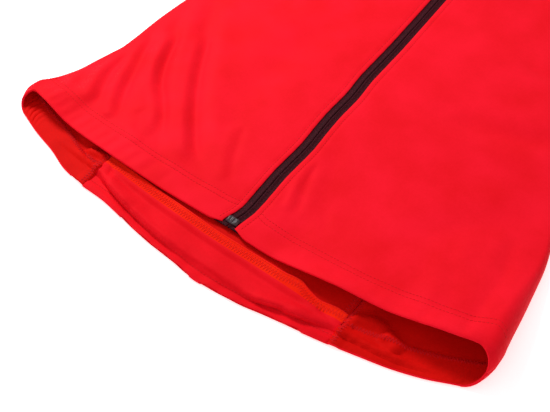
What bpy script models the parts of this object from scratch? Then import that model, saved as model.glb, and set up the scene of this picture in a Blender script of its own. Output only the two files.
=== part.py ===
"""A short-sleeved cycling jersey, laid flat with its front up and its zip closed.

+X is to the viewer's right, +Y runs along the zip towards the collar, and +Z is up from the
surface that it lies on. Sizes are in millimetres in the jersey's own layout, whose zero is the
middle of the front hem; place() turns them into metres about the middle of the whole outline.
Left and right in the names are the wearer's, so the right side lies at -X.
"""

import math

import bmesh
import bpy
import numpy as np

MM = 0.001

# Cloth and seams
WALL = 1.0  # one layer of knit
HEM_WALL = 2.0  # the knit turned up on itself
SEAM = 0.3  # between two pieces at a seam
LAYER = 0.3  # between a piece and the one that it lies on
HEM_TURN = 24.0  # how far the hem is turned up
CUFF_TURN = 22.0
BODY_HIGH = 7.0  # top of the front above the surface, away from the hem
FLAT_RADIUS = BODY_HIGH / 2

# Whole outline
TAIL_HEM = -53.0
COLLAR_TOP = 630.0
ARMPIT = (240.0, 395.0)
SHOULDER_TIP = (200.0, 545.0)
NECK_POINT = (80.0, 585.0)
CUFF_UNDER = (306.0, 292.0)
CUFF_TOP = (393.0, 402.0)
MIDDLE_Y = (TAIL_HEM + COLLAR_TOP) / 2

# Height along the zip; distance of the side fold from the middle at -X, at +X
SIDE_FOLD = [
    (-25, 213, 217),
    (-4, 220, 224),
    (13, 226, 228.5),
    (27, 219.5, 227),
    (40, 214.5, 225.5),
    (55, 209, 224),
    (78, 204, 221),
    (109, 197, 216.5),
    (145, 196, 206.5),
    (200, 191, 191.5),
    (240, 189, 189),
    (300, 200, 200),
    (360, 222, 222),
    (395, 240, 240),
]
# Height along the zip; radius of the side fold at -X, at +X
FOLD_RADIUS = [
    (0, 8.0, 13.5),
    (30, 6.5, 13.0),
    (60, 4.2, 11.0),
    (90, 3.5, 7.5),
    (120, 3.5, 5.0),
    (160, 3.5, 3.5),
]
# Place across the front hem; height of its top above the surface
HEM_CREST = [
    (-213, 16),
    (-195, 17.5),
    (-183, 15),
    (-170, 11),
    (-157, 10),
    (-129, 10.5),
    (-104, 9.5),
    (-77, 7.8),
    (-55, 7),
    (43, 7),
    (68, 11.5),
    (88, 16),
    (110, 19.5),
    (143, 20.5),
    (165, 24.5),
    (186, 28),
    (202, 28.5),
    (214, 27),
]
# Place across the front; how much lower the front is behind the standing lip of its hem
LIP_FALL = [
    (30, 0),
    (60, 3),
    (85, 6),
    (110, 7.5),
    (135, 6),
    (160, 5),
    (178, 6.5),
    (196, 6.5),
    (207, 3),
    (214, 0),
]
LIP_REACH = 22.0  # how far above the hem the front is wholly down
# Line of the front hem
HEM_LOWEST = -4.0
HEM_HALF = 221.0
HEM_SIDE_RISE = 17.0
HEM_ZIP_RISE = 5.0
HEM_ZIP_REACH = 12.0
# Place across; top edge of the tail's seam allowance; lower edge of the soft roll; its fullness
TAIL_ROLL = [
    (-175, 6, -14, 0.0),
    (-150, 4, -16, 0.35),
    (-120, 1, -20, 0.8),
    (-98, -1, -26, 0.95),
    (-65, -4, -35, 1.0),
    (-34, -6, -41, 1.0),
    (0, -8, -44, 0.95),
    (47, -9, -45, 0.9),
    (75, -10, -39, 0.8),
    (109, -12, -32, 0.75),
    (120, -12, -29, 0.8),
    (150, -10, -26, 0.9),
    (175, -6, -22, 0.5),
    (198, 0, -14, 0.0),
]
ROLL_HIGH = 4.4
# Share of the way from the roll's lower edge to the seam; share of the roll's height
ROLL_SHAPE = [
    (0, 0),
    (0.15, 0.5),
    (0.3, 1.0),
    (0.5, 0.9),
    (0.675, 0.62),
    (0.85, 0.35),
    (1.0, 0.25),
    (1.175, 0.12),
    (1.35, 0),
]
# Place across; height along the zip of the longer back hem, with the slight wave of its elastic
BACK_HEM = [
    (-215, -6),
    (-205, -10),
    (-194, -14.5),
    (-184, -17),
    (-165, -23),
    (-144, -31),
    (-127, -35),
    (-100, -36.5),
    (-84, -39),
    (-61, -44),
    (-38, -47.5),
    (-17, -49.5),
    (10, TAIL_HEM),
    (42, -51),
    (75, -46),
    (107, -41.5),
    (138, -36),
    (152, -32.5),
    (168, -29.5),
    (187, -23.5),
    (206, -16.5),
    (216, -10),
]
ALLOWANCE = 9.0
TAIL_STEP = 6.0  # where the tail climbs onto the back
# Height along the zip; how far the zip has wandered towards +X
ZIP_WANDER = [
    (0, 3.5),
    (22, 4.7),
    (47, 3.8),
    (65, 3.1),
    (99, 4.0),
    (125, 2.4),
    (145, 1.6),
    (168, 2.1),
    (200, 0.2),
    (240, 0.4),
    (275, -0.3),
    (360, -2),
    (440, -1),
    (500, 0),
    (560, 0),
]
# Height along the side-back seam; its distance from the middle
BACK_SEAM = [
    (-45, 120),
    (180, 120),
    (205, 121),
    (230, 123),
    (255, 126.5),
    (290, 134),
    (325, 146),
    (360, 163),
    (395, 186),
    (428, 207),
]
# Points of the armhole from the armpit to the shoulder tip, at +X
ARMHOLE = [
    ARMPIT,
    (236.5, 400.0),
    (224.0, 412.5),
    (210.5, 432.0),
    (201.0, 461.0),
    (198.0, 500.0),
    SHOULDER_TIP,
]
SEAM_MEETS = 3  # the armhole point where the side-back seam ends
# Points of the front neckline from the zip to the neck point, and of the collar's front edge
NECKLINE = [(6, 510), (22, 512.5), (40, 521), (56, 535), (69, 555), (77, 571), NECK_POINT]
COLLAR_EDGE = [(6, 553), (20, 555), (35, 561), (48, 572), (58, 589), (66, 609), (70, 630)]
# Points of the back neckline and of the collar's back edge, from the neck point inwards
BACK_NECK = [NECK_POINT, (56, 581), (28, 578.5), (0, 578)]
COLLAR_BACK = [(70, 630), (48, 628.5), (24, 627.5), (0, 627)]

# Soft folds of the front: start x, y; middle x, y; end x, y; depth; width
FRONT_FOLDS = [
    (-172, 205, -115, 103, -46, 22, 2.7, 9),
    (-181, 168, -145, 92, -84, 20, 2.4, 8),
    (-194, 146, -173, 88, -146, 32, 2.2, 7),
    (-190, 92, -182, 61, -167, 28, 1.8, 6),
    (-206, 58, -198, 46, -190, 34, 1.2, 6),
    (-60, 250, -72, 170, -66, 90, 1.1, 15),
    (18, 88, 25, 61, 35, 32, 0.8, 6),
    (196, 150, 150, 105, 118, 60, 1.0, 14),
    (180, 235, 128, 208, 78, 204, 1.6, 11),
    (-180, 262, -134, 236, -88, 236, 1.6, 11),
    (226, 378, 178, 352, 126, 348, 2.2, 10),
    (-226, 378, -172, 346, -118, 338, 2.2, 10),
    (216, 402, 168, 404, 118, 424, 1.8, 10),
    (-216, 402, -164, 396, -112, 410, 1.8, 10),
    (188, 512, 140, 470, 108, 422, 1.4, 12),
    (-188, 512, -146, 476, -116, 430, 1.4, 12),
    (66, 478, 72, 420, 62, 350, 1.0, 14),
    (-68, 474, -76, 410, -64, 330, 1.0, 14),
]
MOST_SINK = 3.2
MOST_SWELL = 2.0
FOLD_STEPS = 12
FOLD_SWELL = 0.3  # share of a fold's depth that the cloth beside it swells
FOLD_END = 0.25  # share of a fold's length, and of its depth, at a fading end
ZIP_CALM = (9.0, 30.0)  # from the zip's middle: no fold nearer, full folds farther
SIDE_CALM = 16.0
SHOULDER_CALM = (3.0, 24.0)
# Folds of a sleeve, laid out as at +X, with the same columns
SLEEVE_FOLDS = [
    (250, 398, 282, 412, 322, 440, 1.4, 9),
    (262, 376, 300, 386, 342, 402, 1.2, 8),
    (222, 500, 262, 474, 300, 456, 1.0, 12),
    (278, 342, 306, 356, 332, 380, 0.8, 8),
]

# Rows of points along the seams that two pieces share
SIDE_STATIONS = [
    0, 9, 18, 27, 37, 48, 60, 74, 88, 104, 122, 142, 165, 190, 218, 250, 285, 320, 360, 395,
]
SEAM_LOW = [-30, -21, -12, -3, 12, 30, 52, 78, 108, 145]
SEAM_HIGH = [180, 205, 230, 255, 290, 325, 360, 395]
BEND = [math.radians(a) for a in (28, 58, 84, 90)]
LOOP_BEND = [math.radians(a) for a in (30, 60, 90, 120, 150)]
FIRST_SHARED = 4  # the first side station that a piece takes as it is, above its own hem
BACK_LOW = [-12, 6, 28, 50, 72, 94, 116, 132, 142, 149, 156, 164]
SHOULDER_COLUMNS = 5
TAIL_COLUMNS = 25
ROLL_ROWS = [0.1, 0.2, 0.32, 0.5, 0.75, 0.97]
SLEEVE_ROWS = [0, 0.05, 0.18, 0.36, 0.55, 0.74, 0.9, 1.0]
CUFF_RADIUS = 2.8
CAP_BOW = 7.0
UNDER_BOW = 3.0
COLLAR_ROWS = [0, 0.25, 0.5, 0.75, 1.0]
COLLAR_GAP = 0.5
ZIP_ROWS = 26

# Pocket across the lower back
POCKET_TOP = 145.0
STEP_LONG = 14.0  # where the back comes down to the surface above the pocket
POCKET_COLUMNS = 13
POCKET_ROWS = 8

# Zip
ZIP_OPEN = 6.0  # half of the band that shows between the fronts
TAPE_WIDE = 12.5
TAPE_WALL = 1.0
COIL_WIDE = 4.6
COIL_HIGH = 1.3
ZIP_LOW = -1.5
ZIP_HIGH = 551.0
STOP_SIZE = (10.8, 6.5, 1.5)
STOP_Y = 5.0
SLIDER_SIZE = (8.6, 11.0, 1.6)
SLIDER_Y = 541.0
BAIL_WIRE = 0.6
BAIL_HALF = 3.6
BAIL_RISE = 2.6
PULL_BAR = 0.55
PULL_ARM = 2.3
PULL_ROOT = 6.6
PULL_LONG = 27.0
PULL_WIDE = 6.4
PULL_THICK = 1.1
PULL_PIVOT_RISE = 1.1  # above the slider's plate


def place(point):
    """Metres about the middle of the whole outline, from a point of the layout."""
    return (point[0] * MM, (point[1] - MIDDLE_Y) * MM, point[2] * MM)


def smooth(rows, column):
    """A smooth curve through one column of a table against its first column."""
    at = np.array([row[0] for row in rows], float)
    value = np.array([row[column] for row in rows], float)
    slope = np.diff(value) / np.diff(at)
    tangent = np.zeros(len(at))
    tangent[0], tangent[-1] = slope[0], slope[-1]
    same = slope[:-1] * slope[1:] > 0
    tangent[1:-1][same] = 2 * (slope[:-1] * slope[1:] / (slope[:-1] + slope[1:] + 1e-12))[same]

    def curve(x):
        x = np.clip(np.asarray(x, float), at[0], at[-1])
        i = np.clip(np.searchsorted(at, x, side="right") - 1, 0, len(at) - 2)
        step = at[i + 1] - at[i]
        t = (x - at[i]) / step
        low = (1 + 2 * t) * (1 - t) ** 2 * value[i] + t * (1 - t) ** 2 * step * tangent[i]
        return low + t * t * (3 - 2 * t) * value[i + 1] + t * t * (t - 1) * step * tangent[i + 1]

    return curve


def ease(low, high, x):
    """0 at low, 1 at high, and a soft step between them."""
    t = np.clip((np.asarray(x, float) - low) / (high - low), 0, 1)
    return t * t * (3 - 2 * t)


FOLD_AT = {-1: smooth(SIDE_FOLD, 1), 1: smooth(SIDE_FOLD, 2)}
RADIUS_AT = {-1: smooth(FOLD_RADIUS, 1), 1: smooth(FOLD_RADIUS, 2)}
CREST_AT = smooth(HEM_CREST, 1)
FALL_AT = smooth(LIP_FALL, 1)
ROLL_TOP = smooth(TAIL_ROLL, 1)
ROLL_LINE = smooth(TAIL_ROLL, 2)
ROLL_FULL = smooth(TAIL_ROLL, 3)
ROLL_AT = smooth(ROLL_SHAPE, 1)
ZIP_AT = smooth(ZIP_WANDER, 1)
SEAM_AT = smooth(BACK_SEAM, 1)
back_hem = smooth(BACK_HEM, 1)


def seam_y(x):
    """Height along the zip of the seam between the back and its tail."""
    return ROLL_TOP(x) - ALLOWANCE


def front_hem(x):
    """Height along the zip of the front hem: lowest beside the zip, drawn up at it and at the sides."""
    at_side = HEM_SIDE_RISE * (np.abs(x) / HEM_HALF) ** 4
    at_zip = HEM_ZIP_RISE * np.exp(-(((x - ZIP_AT(0)) / HEM_ZIP_REACH) ** 2))
    return HEM_LOWEST + at_side + at_zip


def near_curve(x, y, fold):
    """Distance from a fold's bowed line, and how far along it, 0 to 1."""
    start, middle, end = (np.array(fold[i : i + 2], float) for i in (0, 2, 4))
    t = np.linspace(0, 1, FOLD_STEPS + 1)[:, None]
    line = (1 - t) ** 2 * start + 2 * t * (1 - t) * (2 * middle - (start + end) / 2) + t * t * end
    best = np.full(np.shape(x), np.inf)
    along = np.zeros(np.shape(x))
    for k, (a, b) in enumerate(zip(line[:-1], line[1:])):
        d = b - a
        u = np.clip(((x - a[0]) * d[0] + (y - a[1]) * d[1]) / (d @ d), 0, 1)
        away = np.hypot(x - a[0] - u * d[0], y - a[1] - u * d[1])
        along = np.where(away < best, (k + u) / FOLD_STEPS, along)
        best = np.minimum(best, away)
    return best, along


def sink(x, y, folds):
    """How far the soft folds lower the cloth, with a slight swell on both sides of each."""
    total = np.zeros(np.shape(x))
    for fold in folds:
        depth, width = fold[6:]
        away, along = near_curve(x, y, fold)
        ends = ease(0, FOLD_END, along) * ease(0, FOLD_END, 1 - along)
        swell = FOLD_SWELL * np.exp(-(((away - 2 * width) / width) ** 2))
        trough = np.exp(-((away / width) ** 2)) - swell
        total = total + depth * (FOLD_END + (1 - FOLD_END) * ends) * trough
    return np.clip(total, -MOST_SWELL, MOST_SINK)


def front_height(x, y):
    """Top of the front above the surface."""
    x, y = np.asarray(x, float), np.asarray(y, float)
    edge = np.where(x < 0, FOLD_AT[-1](y) - RADIUS_AT[-1](y), FOLD_AT[1](y) - RADIUS_AT[1](y))
    share = np.clip(np.abs(x) / edge, 0, 1)
    hem_x = np.where(x < 0, HEM_CREST[0][0], HEM_CREST[-1][0]) * share
    lift = {s: (2 * RADIUS_AT[s](y) - BODY_HIGH) / (2 * RADIUS_AT[s](0) - BODY_HIGH) for s in (-1, 1)}
    mix = (hem_x - HEM_CREST[0][0]) / (HEM_CREST[-1][0] - HEM_CREST[0][0])
    fall = FALL_AT(hem_x) * ease(0, LIP_REACH, y - front_hem(x))
    lifted = (CREST_AT(hem_x) - BODY_HIGH - fall) * (lift[-1] * (1 - mix) + lift[1] * mix)
    clear = ease(*ZIP_CALM, np.abs(x - ZIP_AT(y)))
    above_armpit = ease(ARMPIT[1], ARMPIT[1] + SIDE_CALM, y)
    clear = clear * np.maximum(ease(0, SIDE_CALM, edge - np.abs(x)), above_armpit)
    slope = (NECK_POINT[1] - SHOULDER_TIP[1]) / (SHOULDER_TIP[0] - NECK_POINT[0])
    clear = clear * ease(*SHOULDER_CALM, NECK_POINT[1] - slope * (np.abs(x) - NECK_POINT[0]) - y)
    return BODY_HIGH + lifted - sink(x, y, FRONT_FOLDS) * clear


def roll_height(x, y):
    """Underside of the soft roll above the back hem: steep on the hem side, slack towards the seam."""
    line = ROLL_LINE(x)
    return ROLL_HIGH * ROLL_FULL(x) * ROLL_AT((y - line) / (seam_y(x) - line))


def back_height(x, y):
    """Underside of the back: over the pocket low down, then on the surface."""
    return (WALL + LAYER) * (1 - ease(POCKET_TOP + 3, POCKET_TOP + STEP_LONG, y))


def polyline_normals(points):
    """Unit normals of a row of points, to the left of its direction."""
    d = np.gradient(points, axis=0)
    d /= np.linalg.norm(d, axis=1)[:, None]
    return np.stack([-d[:, 1], d[:, 0]], axis=1)


def fractions(points):
    """How far along a row of points each one lies, 0 to 1."""
    step = np.linalg.norm(np.diff(points, axis=0), axis=1)
    return np.concatenate([[0], np.cumsum(step)]) / step.sum()


def patch(bottom, top, start, end):
    """A flat grid of points that fills the space between four rows of points."""
    u = ((fractions(bottom) + fractions(top)) / 2)[None, :, None]
    v = ((fractions(start) + fractions(end)) / 2)[:, None, None]
    across = (1 - v) * bottom[None] + v * top[None]
    along = (1 - u) * start[:, None] + u * end[:, None]
    low = (1 - u) * bottom[0] + u * bottom[-1]
    high = (1 - u) * top[0] + u * top[-1]
    return across + along - (1 - v) * low - v * high


def mirrored(points, side):
    return np.array(points, float) * (side, 1)


def material(name, colour, roughness, metallic=0.0):
    made = bpy.data.materials.new(name)
    made.use_nodes = True
    shader = made.node_tree.nodes["Principled BSDF"]
    shader.inputs["Base Color"].default_value = (*colour, 1)
    shader.inputs["Roughness"].default_value = roughness
    shader.inputs["Metallic"].default_value = metallic
    return made


def knit(name):
    return material(name, (0.86, 0.012, 0.028), 0.55)


def add_object(name, mesh, finish):
    made = bpy.data.objects.new(name, mesh)
    made.data.materials.append(finish)
    bpy.data.collections["cycling_jersey"].objects.link(made)
    return made


def sheet(name, grid, heights, finish, up, thick=None, wall=WALL, loop=False):
    """A cloth wall: an open grid of outer points, thickened inwards.

    up is True where the outer side faces up. thick holds 1 where the cloth is turned up on
    itself and 0 elsewhere. With loop, each row of the grid is a closed ring.
    """
    rows, columns = heights.shape
    points = [place((*xy, z)) for xy, z in zip(grid.reshape(-1, 2), heights.reshape(-1))]
    faces = []
    for j in range(rows - 1):
        for i in range(columns if loop else columns - 1):
            k = (i + 1) % columns
            faces.append((j * columns + i, j * columns + k, (j + 1) * columns + k, (j + 1) * columns + i))
    along = grid[-1].mean(axis=0) - grid[0].mean(axis=0)
    across = grid[0, 1] - grid[0, 0]
    if (across[0] * along[1] - across[1] * along[0] > 0) != up:
        faces = [face[::-1] for face in faces]
    mesh = bpy.data.meshes.new(name)
    mesh.from_pydata(points, [], faces)
    mesh.shade_smooth()
    made = add_object(name, mesh, finish)
    solid = made.modifiers.new("Wall", "SOLIDIFY")
    solid.offset = -1
    solid.thickness = wall * MM
    if thick is not None:
        group = made.vertex_groups.new(name="turned_up")
        for index, weight in enumerate(thick.reshape(-1)):
            group.add([index], float(weight), "REPLACE")
        solid.thickness = HEM_WALL * MM
        solid.vertex_group = group.name
        solid.thickness_vertex_group = WALL / HEM_WALL
    return made


def with_bend(grid, outer, turns):
    """Adds a column for each turn between the grid's last column and the outer points."""
    inner = grid[:, -1]
    new = [inner + (outer - inner) * math.sin(turn) for turn in turns]
    return np.concatenate([grid, np.stack(new, axis=1)], axis=1)


def lifted_rows(points, hem_y):
    """Starts a side row at its own hem and spreads the next points up to the first shared one."""
    points[:FIRST_SHARED, 1] = np.linspace(hem_y, points[FIRST_SHARED, 1], FIRST_SHARED + 1)[:-1]
    return points


def turned_up(grid, turn):
    """1 on the rows of a grid that lie on the turned-up hem, which starts at its first row."""
    return np.where(grid[..., 1] - grid[0, :, 1] < turn, 1.0, 0.0)


def side_rows(side):
    """The side fold at its outermost line and one radius inside it, with the fold's radius."""
    y = np.array(SIDE_STATIONS, float)
    x, radius = FOLD_AT[side](y), RADIUS_AT[side](y)
    return np.stack([x, y], axis=1), np.stack([x - radius, y], axis=1), radius


def front_panel(name, side, columns):
    """One front: from the zip to the side fold and armhole, and from the hem to the shoulder and neck."""
    outer, inner, radius = side_rows(side)
    inner = lifted_rows(inner, front_hem(inner[0, 0]))
    arm = np.array(ARMHOLE[1:]) - (SEAM / 2, 0)
    outer = mirrored(np.concatenate([outer, arm]), side)
    inner = mirrored(np.concatenate([inner, arm - (FLAT_RADIUS, 0)]), side)
    # the flat part stops one radius short of the shoulder's fold
    tip = inner[-1].copy()
    outer_tip = outer[-1].copy()
    inner[-1, 1] -= FLAT_RADIUS
    outer[-1, 1] -= FLAT_RADIUS
    low = float(front_hem(ZIP_AT(0) + side * ZIP_OPEN))
    zip_y = low + fractions(outer) * (NECKLINE[0][1] - FLAT_RADIUS - low)
    zip_edge = np.stack([ZIP_AT(zip_y) + side * ZIP_OPEN, zip_y], axis=1)
    hem_x = np.linspace(zip_edge[0, 0], inner[0, 0], columns)
    bottom = np.stack([hem_x, front_hem(hem_x)], axis=1)
    neck = mirrored(NECKLINE, side)
    shoulder = np.linspace(neck[-1], tip, columns - len(neck) + 1)[1:]
    edge = np.concatenate([neck, shoulder])
    top = edge - polyline_normals(edge) * side * FLAT_RADIUS
    bottom[-1], top[0], top[-1] = inner[0], zip_edge[-1], inner[-1]
    grid = with_bend(patch(bottom, top, zip_edge, inner), outer, BEND)
    corner = with_bend(edge[None, -1:], outer_tip[None], BEND)[0, 1:]
    last, edge = grid[-1], np.concatenate([edge, corner])
    over_rows = [last + (edge - last) * math.sin(turn) for turn in BEND]
    grid = np.concatenate([grid, over_rows])
    heights = front_height(grid[..., 0], grid[..., 1])
    fall = np.array([1 - math.cos(turn) for turn in BEND])
    fold_rows = len(SIDE_STATIONS)
    heights[:fold_rows, columns:] = radius[:, None] * (2 - fall)
    heights[:fold_rows, -1] = radius + SEAM / 2
    heights[fold_rows : -len(BEND), columns:] = heights[fold_rows : -len(BEND), columns - 1 : columns]
    over = np.where(np.arange(grid.shape[1]) >= len(neck) - 1, FLAT_RADIUS, 0)
    for row, share in zip(heights[-len(BEND) :], fall):
        row[:] = BODY_HIGH - over * share
    heights[-1] += np.where(over > 0, SEAM / 2, 0)
    beside_zip = np.abs(grid[..., 0] - ZIP_AT(grid[..., 1])) < 2 * TAPE_WIDE
    thick = np.where(beside_zip, 0, turned_up(grid, HEM_TURN))
    sheet(name, grid, heights, knit(name), True, thick)


def seam_rows(low, gap):
    """The side-back seam at +X from its low rows to the armhole, moved by gap away from the middle."""
    y = np.array(list(low) + SEAM_HIGH, float)
    line = np.concatenate([np.stack([SEAM_AT(y), y], axis=1), [ARMHOLE[SEAM_MEETS]]])
    return line - polyline_normals(line) * gap


def side_panel(name, side):
    """The strip of the back from the side fold to the side-back seam, which ends at the armhole."""
    outer, inner, radius = side_rows(side)
    inner = lifted_rows(inner, back_hem(side * inner[0, 0]))
    arm = np.array(ARMHOLE) - (0, SEAM / 2)
    reach = arm[1] - arm[0]
    inner[-1] = arm[0] + reach * FLAT_RADIUS / np.linalg.norm(reach)
    outer[-1] = arm[0]
    hem_y = float(back_hem(side * BACK_SEAM[0][1]))
    seam = seam_rows([hem_y] + SEAM_LOW, SEAM / 2)
    seam[-1] -= (0, SEAM / 2)
    top = np.array([seam[-1], arm[2], (arm[2] + arm[1]) / 2, arm[1], inner[-1]])
    hem_x = np.linspace(seam[0, 0], inner[0, 0], len(top))
    bottom = np.stack([hem_x, back_hem(side * hem_x)], axis=1)
    bottom[0], bottom[-1] = seam[0], inner[0]
    grid = with_bend(patch(bottom, top, seam, inner), outer, BEND) * (side, 1)
    heights = roll_height(grid[..., 0], grid[..., 1])
    heights[:, len(top) :] = radius[:, None] * np.array([1 - math.cos(turn) for turn in BEND])
    heights[:, -1] = radius - SEAM / 2
    sheet(name, grid, heights, knit(name), False, turned_up(grid, HEM_TURN))


def back_panel():
    """The middle of the back, over the pocket and up to the neck and shoulders."""
    half = seam_rows(BACK_LOW, -SEAM / 2)
    half[0, 1] = seam_y(half[0, 0]) + SEAM
    arm = np.array(ARMHOLE[SEAM_MEETS + 1 :]) - (SEAM / 2, 0)
    right = np.concatenate([half, arm])
    left = mirrored(right, -1)
    left[0, 1] = seam_y(left[0, 0]) + SEAM
    tip = right[-1].copy()
    right[-1, 1] -= FLAT_RADIUS
    left[-1, 1] -= FLAT_RADIUS
    neck = np.array(BACK_NECK)
    shoulder = np.linspace(tip, neck[0], SHOULDER_COLUMNS + 1)[:-1]
    edge = np.concatenate([shoulder, neck])
    edge = np.concatenate([mirrored(edge, -1), edge[-2::-1]])
    top = edge + polyline_normals(edge) * -FLAT_RADIUS
    top[0], top[-1] = left[-1], right[-1]
    across = np.linspace(left[0, 0], right[0, 0], len(edge))
    bottom = np.stack([across, seam_y(across) + SEAM], axis=1)
    grid = patch(bottom, top, left, right)
    last = grid[-1]
    grid = np.concatenate([grid, [last + (edge - last) * math.sin(turn) for turn in BEND]])
    heights = back_height(grid[..., 0], grid[..., 1])
    column = np.arange(len(edge))
    over = np.minimum(column, column[::-1]) <= SHOULDER_COLUMNS
    for row, turn in zip(heights[-len(BEND) :], BEND):
        row[:] = np.where(over, FLAT_RADIUS * (1 - math.cos(turn)), 0)
    heights[-1] -= np.where(over, SEAM / 2, 0)
    sheet("back", grid, heights, knit("back"), False)


def tail():
    """The strip below the pocket: its seam allowance on the back, a soft roll, and the hem."""
    half = BACK_SEAM[0][1] - SEAM / 2
    x = np.linspace(-half, half, TAIL_COLUMNS)
    hem, line, seam, top = back_hem(x), ROLL_LINE(x), seam_y(x), ROLL_TOP(x)
    rows = [hem, (hem + line) / 2, line - 0.5]
    rows += [line + (seam - line) * share for share in ROLL_ROWS]
    rows += [seam + 2.0, top]
    grid = np.stack([np.stack([x, row], axis=1) for row in rows])
    over_back = 2 * (WALL + LAYER) * ease(seam - TAIL_STEP, seam - SEAM, grid[..., 1])
    heights = over_back + roll_height(grid[..., 0], grid[..., 1])
    thick = np.zeros(heights.shape)
    thick[:2] = 1
    sheet("tail", grid, heights, knit("tail"), False, thick)


def pocket():
    """The wide rear pocket, under the back from the tail's seam up."""
    half = BACK_SEAM[0][1] - SEAM / 2
    x = np.linspace(-half, half, POCKET_COLUMNS)
    low = seam_y(x) + SEAM
    rows = [low + (POCKET_TOP - low) * share for share in np.linspace(0, 1, POCKET_ROWS)]
    grid = np.stack([np.stack([x, row], axis=1) for row in rows])
    sheet("pocket", grid, np.zeros(grid.shape[:2]), knit("pocket"), False)


def bowed(start, end, shares, bow):
    """Points from start to end, with a bow to the left of that direction in the middle."""
    reach = end - start
    left = np.array([-reach[1], reach[0]]) / np.linalg.norm(reach)
    line = start + reach * np.array(shares)[:, None]
    return line + left * bow * np.sin(math.pi * np.array(shares))[:, None]


def sleeve(name, side):
    """A short set-in sleeve laid flat: a ring of points from the armhole to the cuff."""
    arm = np.array(ARMHOLE) + (1.5 * SEAM, 0)
    cuff = np.array([CUFF_UNDER, CUFF_TOP])
    width = np.linalg.norm(cuff[1] - cuff[0])
    along_cuff = (cuff[1] - cuff[0]) / width
    first, last = arm[1] - arm[0], arm[-2] - arm[-1]
    arm_in = arm[0] + first / np.linalg.norm(first) * FLAT_RADIUS
    arm_out = arm[-1] + last / np.linalg.norm(last) * FLAT_RADIUS
    inset = along_cuff * FLAT_RADIUS
    under = bowed(arm[0], cuff[0], SLEEVE_ROWS, -UNDER_BOW)
    over = bowed(arm[-1], cuff[1], SLEEVE_ROWS, CAP_BOW)
    under_in = bowed(arm_in, cuff[0] + inset, SLEEVE_ROWS, -UNDER_BOW)
    over_in = bowed(arm_out, cuff[1] - inset, SLEEVE_ROWS, CAP_BOW)
    bottom = np.concatenate([[arm_in], arm[1:-1], [arm_out]])
    places = np.linspace(FLAT_RADIUS, width - FLAT_RADIUS, len(bottom))
    top = cuff[0] + along_cuff * places[:, None]
    flat = patch(bottom, top, under_in, over_in)
    share = np.array(SLEEVE_ROWS)[:, None]
    radius = FLAT_RADIUS + (CUFF_RADIUS - FLAT_RADIUS) * ease(0, 0.6, share)
    inside = np.ones(len(bottom))
    inside[[0, -1]] = 0
    low = sink(flat[..., 0], flat[..., 1], SLEEVE_FOLDS) * inside
    low = low + sink(flat[..., 0] * side, flat[..., 1], FRONT_FOLDS) * (1 - ease(0, 0.3, share))
    upper = 2 * radius - low
    grid, heights = [flat], [upper]
    for turn in LOOP_BEND:
        grid.append((over_in + (over - over_in) * math.sin(turn))[:, None])
        heights.append(radius * (1 + math.cos(turn)))
    grid.append(flat[:, ::-1])
    heights.append(np.zeros(flat.shape[:2]))
    for turn in LOOP_BEND[::-1]:
        grid.append((under_in + (under - under_in) * math.sin(turn))[:, None])
        heights.append(radius * (1 + math.cos(turn)))
    grid, heights = np.concatenate(grid, axis=1), np.concatenate(heights, axis=1)
    outward = np.array([along_cuff[1], -along_cuff[0]])
    to_cuff = (cuff[0] - grid) @ outward
    thick = np.where(to_cuff < CUFF_TURN, 1.0, 0.0)
    sheet(name, grid * (side, 1), heights, knit(name), True, thick, loop=True)


def collar():
    """The stand collar laid flat, from one side of the zip round the back to the other."""
    rise = np.array(COLLAR_ROWS)[:, None, None]
    front = np.array(NECKLINE) + (np.array(COLLAR_EDGE) - NECKLINE) * rise
    back = np.array(BACK_NECK) + (np.array(COLLAR_BACK) - BACK_NECK) * rise
    back = np.concatenate([back, back[:, -2::-1] * (-1, 1)], axis=1)
    outer = front[:, -1].copy()
    front[:, -1] = outer + unit(front[:, -2] - outer) * FLAT_RADIUS
    ends = [unit(back[:, 1] - outer), unit(back[:, -2] - outer * (-1, 1))]
    back[:, 0] = outer + ends[0] * FLAT_RADIUS
    back[:, -1] = outer * (-1, 1) + ends[1] * FLAT_RADIUS
    grid, heights = [front], [np.full(front.shape[:2], BODY_HIGH)]
    for side, near, far in ((1, front[:, -1], back[:, 0]), (-1, back[:, -1], front[:, -1] * (-1, 1))):
        for turn in LOOP_BEND:
            towards = near if turn < math.pi / 2 else far
            grid.append((towards + (outer * (side, 1) - towards) * math.sin(turn))[:, None])
            heights.append(np.full((len(outer), 1), FLAT_RADIUS * (1 + side * math.cos(turn))))
        if side > 0:
            grid.append(back)
            heights.append(np.zeros(back.shape[:2]))
    grid.append(front[:, ::-1] * (-1, 1))
    heights.append(np.full(front.shape[:2], BODY_HIGH))
    grid, heights = np.concatenate(grid, axis=1), np.concatenate(heights, axis=1)
    grid[0] += unit(grid[1] - grid[0]) * COLLAR_GAP
    sheet("collar", grid, heights, knit("collar"), True)


def unit(vectors):
    return vectors / np.linalg.norm(vectors, axis=-1, keepdims=True)


def strip(name, offsets, top, wall, low, high, finish):
    """A straight-edged strip that follows the zip, at the given distances from its middle."""
    y = np.linspace(low, high, ZIP_ROWS)
    grid = np.stack([ZIP_AT(y)[:, None] + np.array(offsets), np.repeat(y[:, None], len(offsets), 1)], axis=2)
    sheet(name, grid, np.full(grid.shape[:2], top), finish, True, wall=wall)


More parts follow.
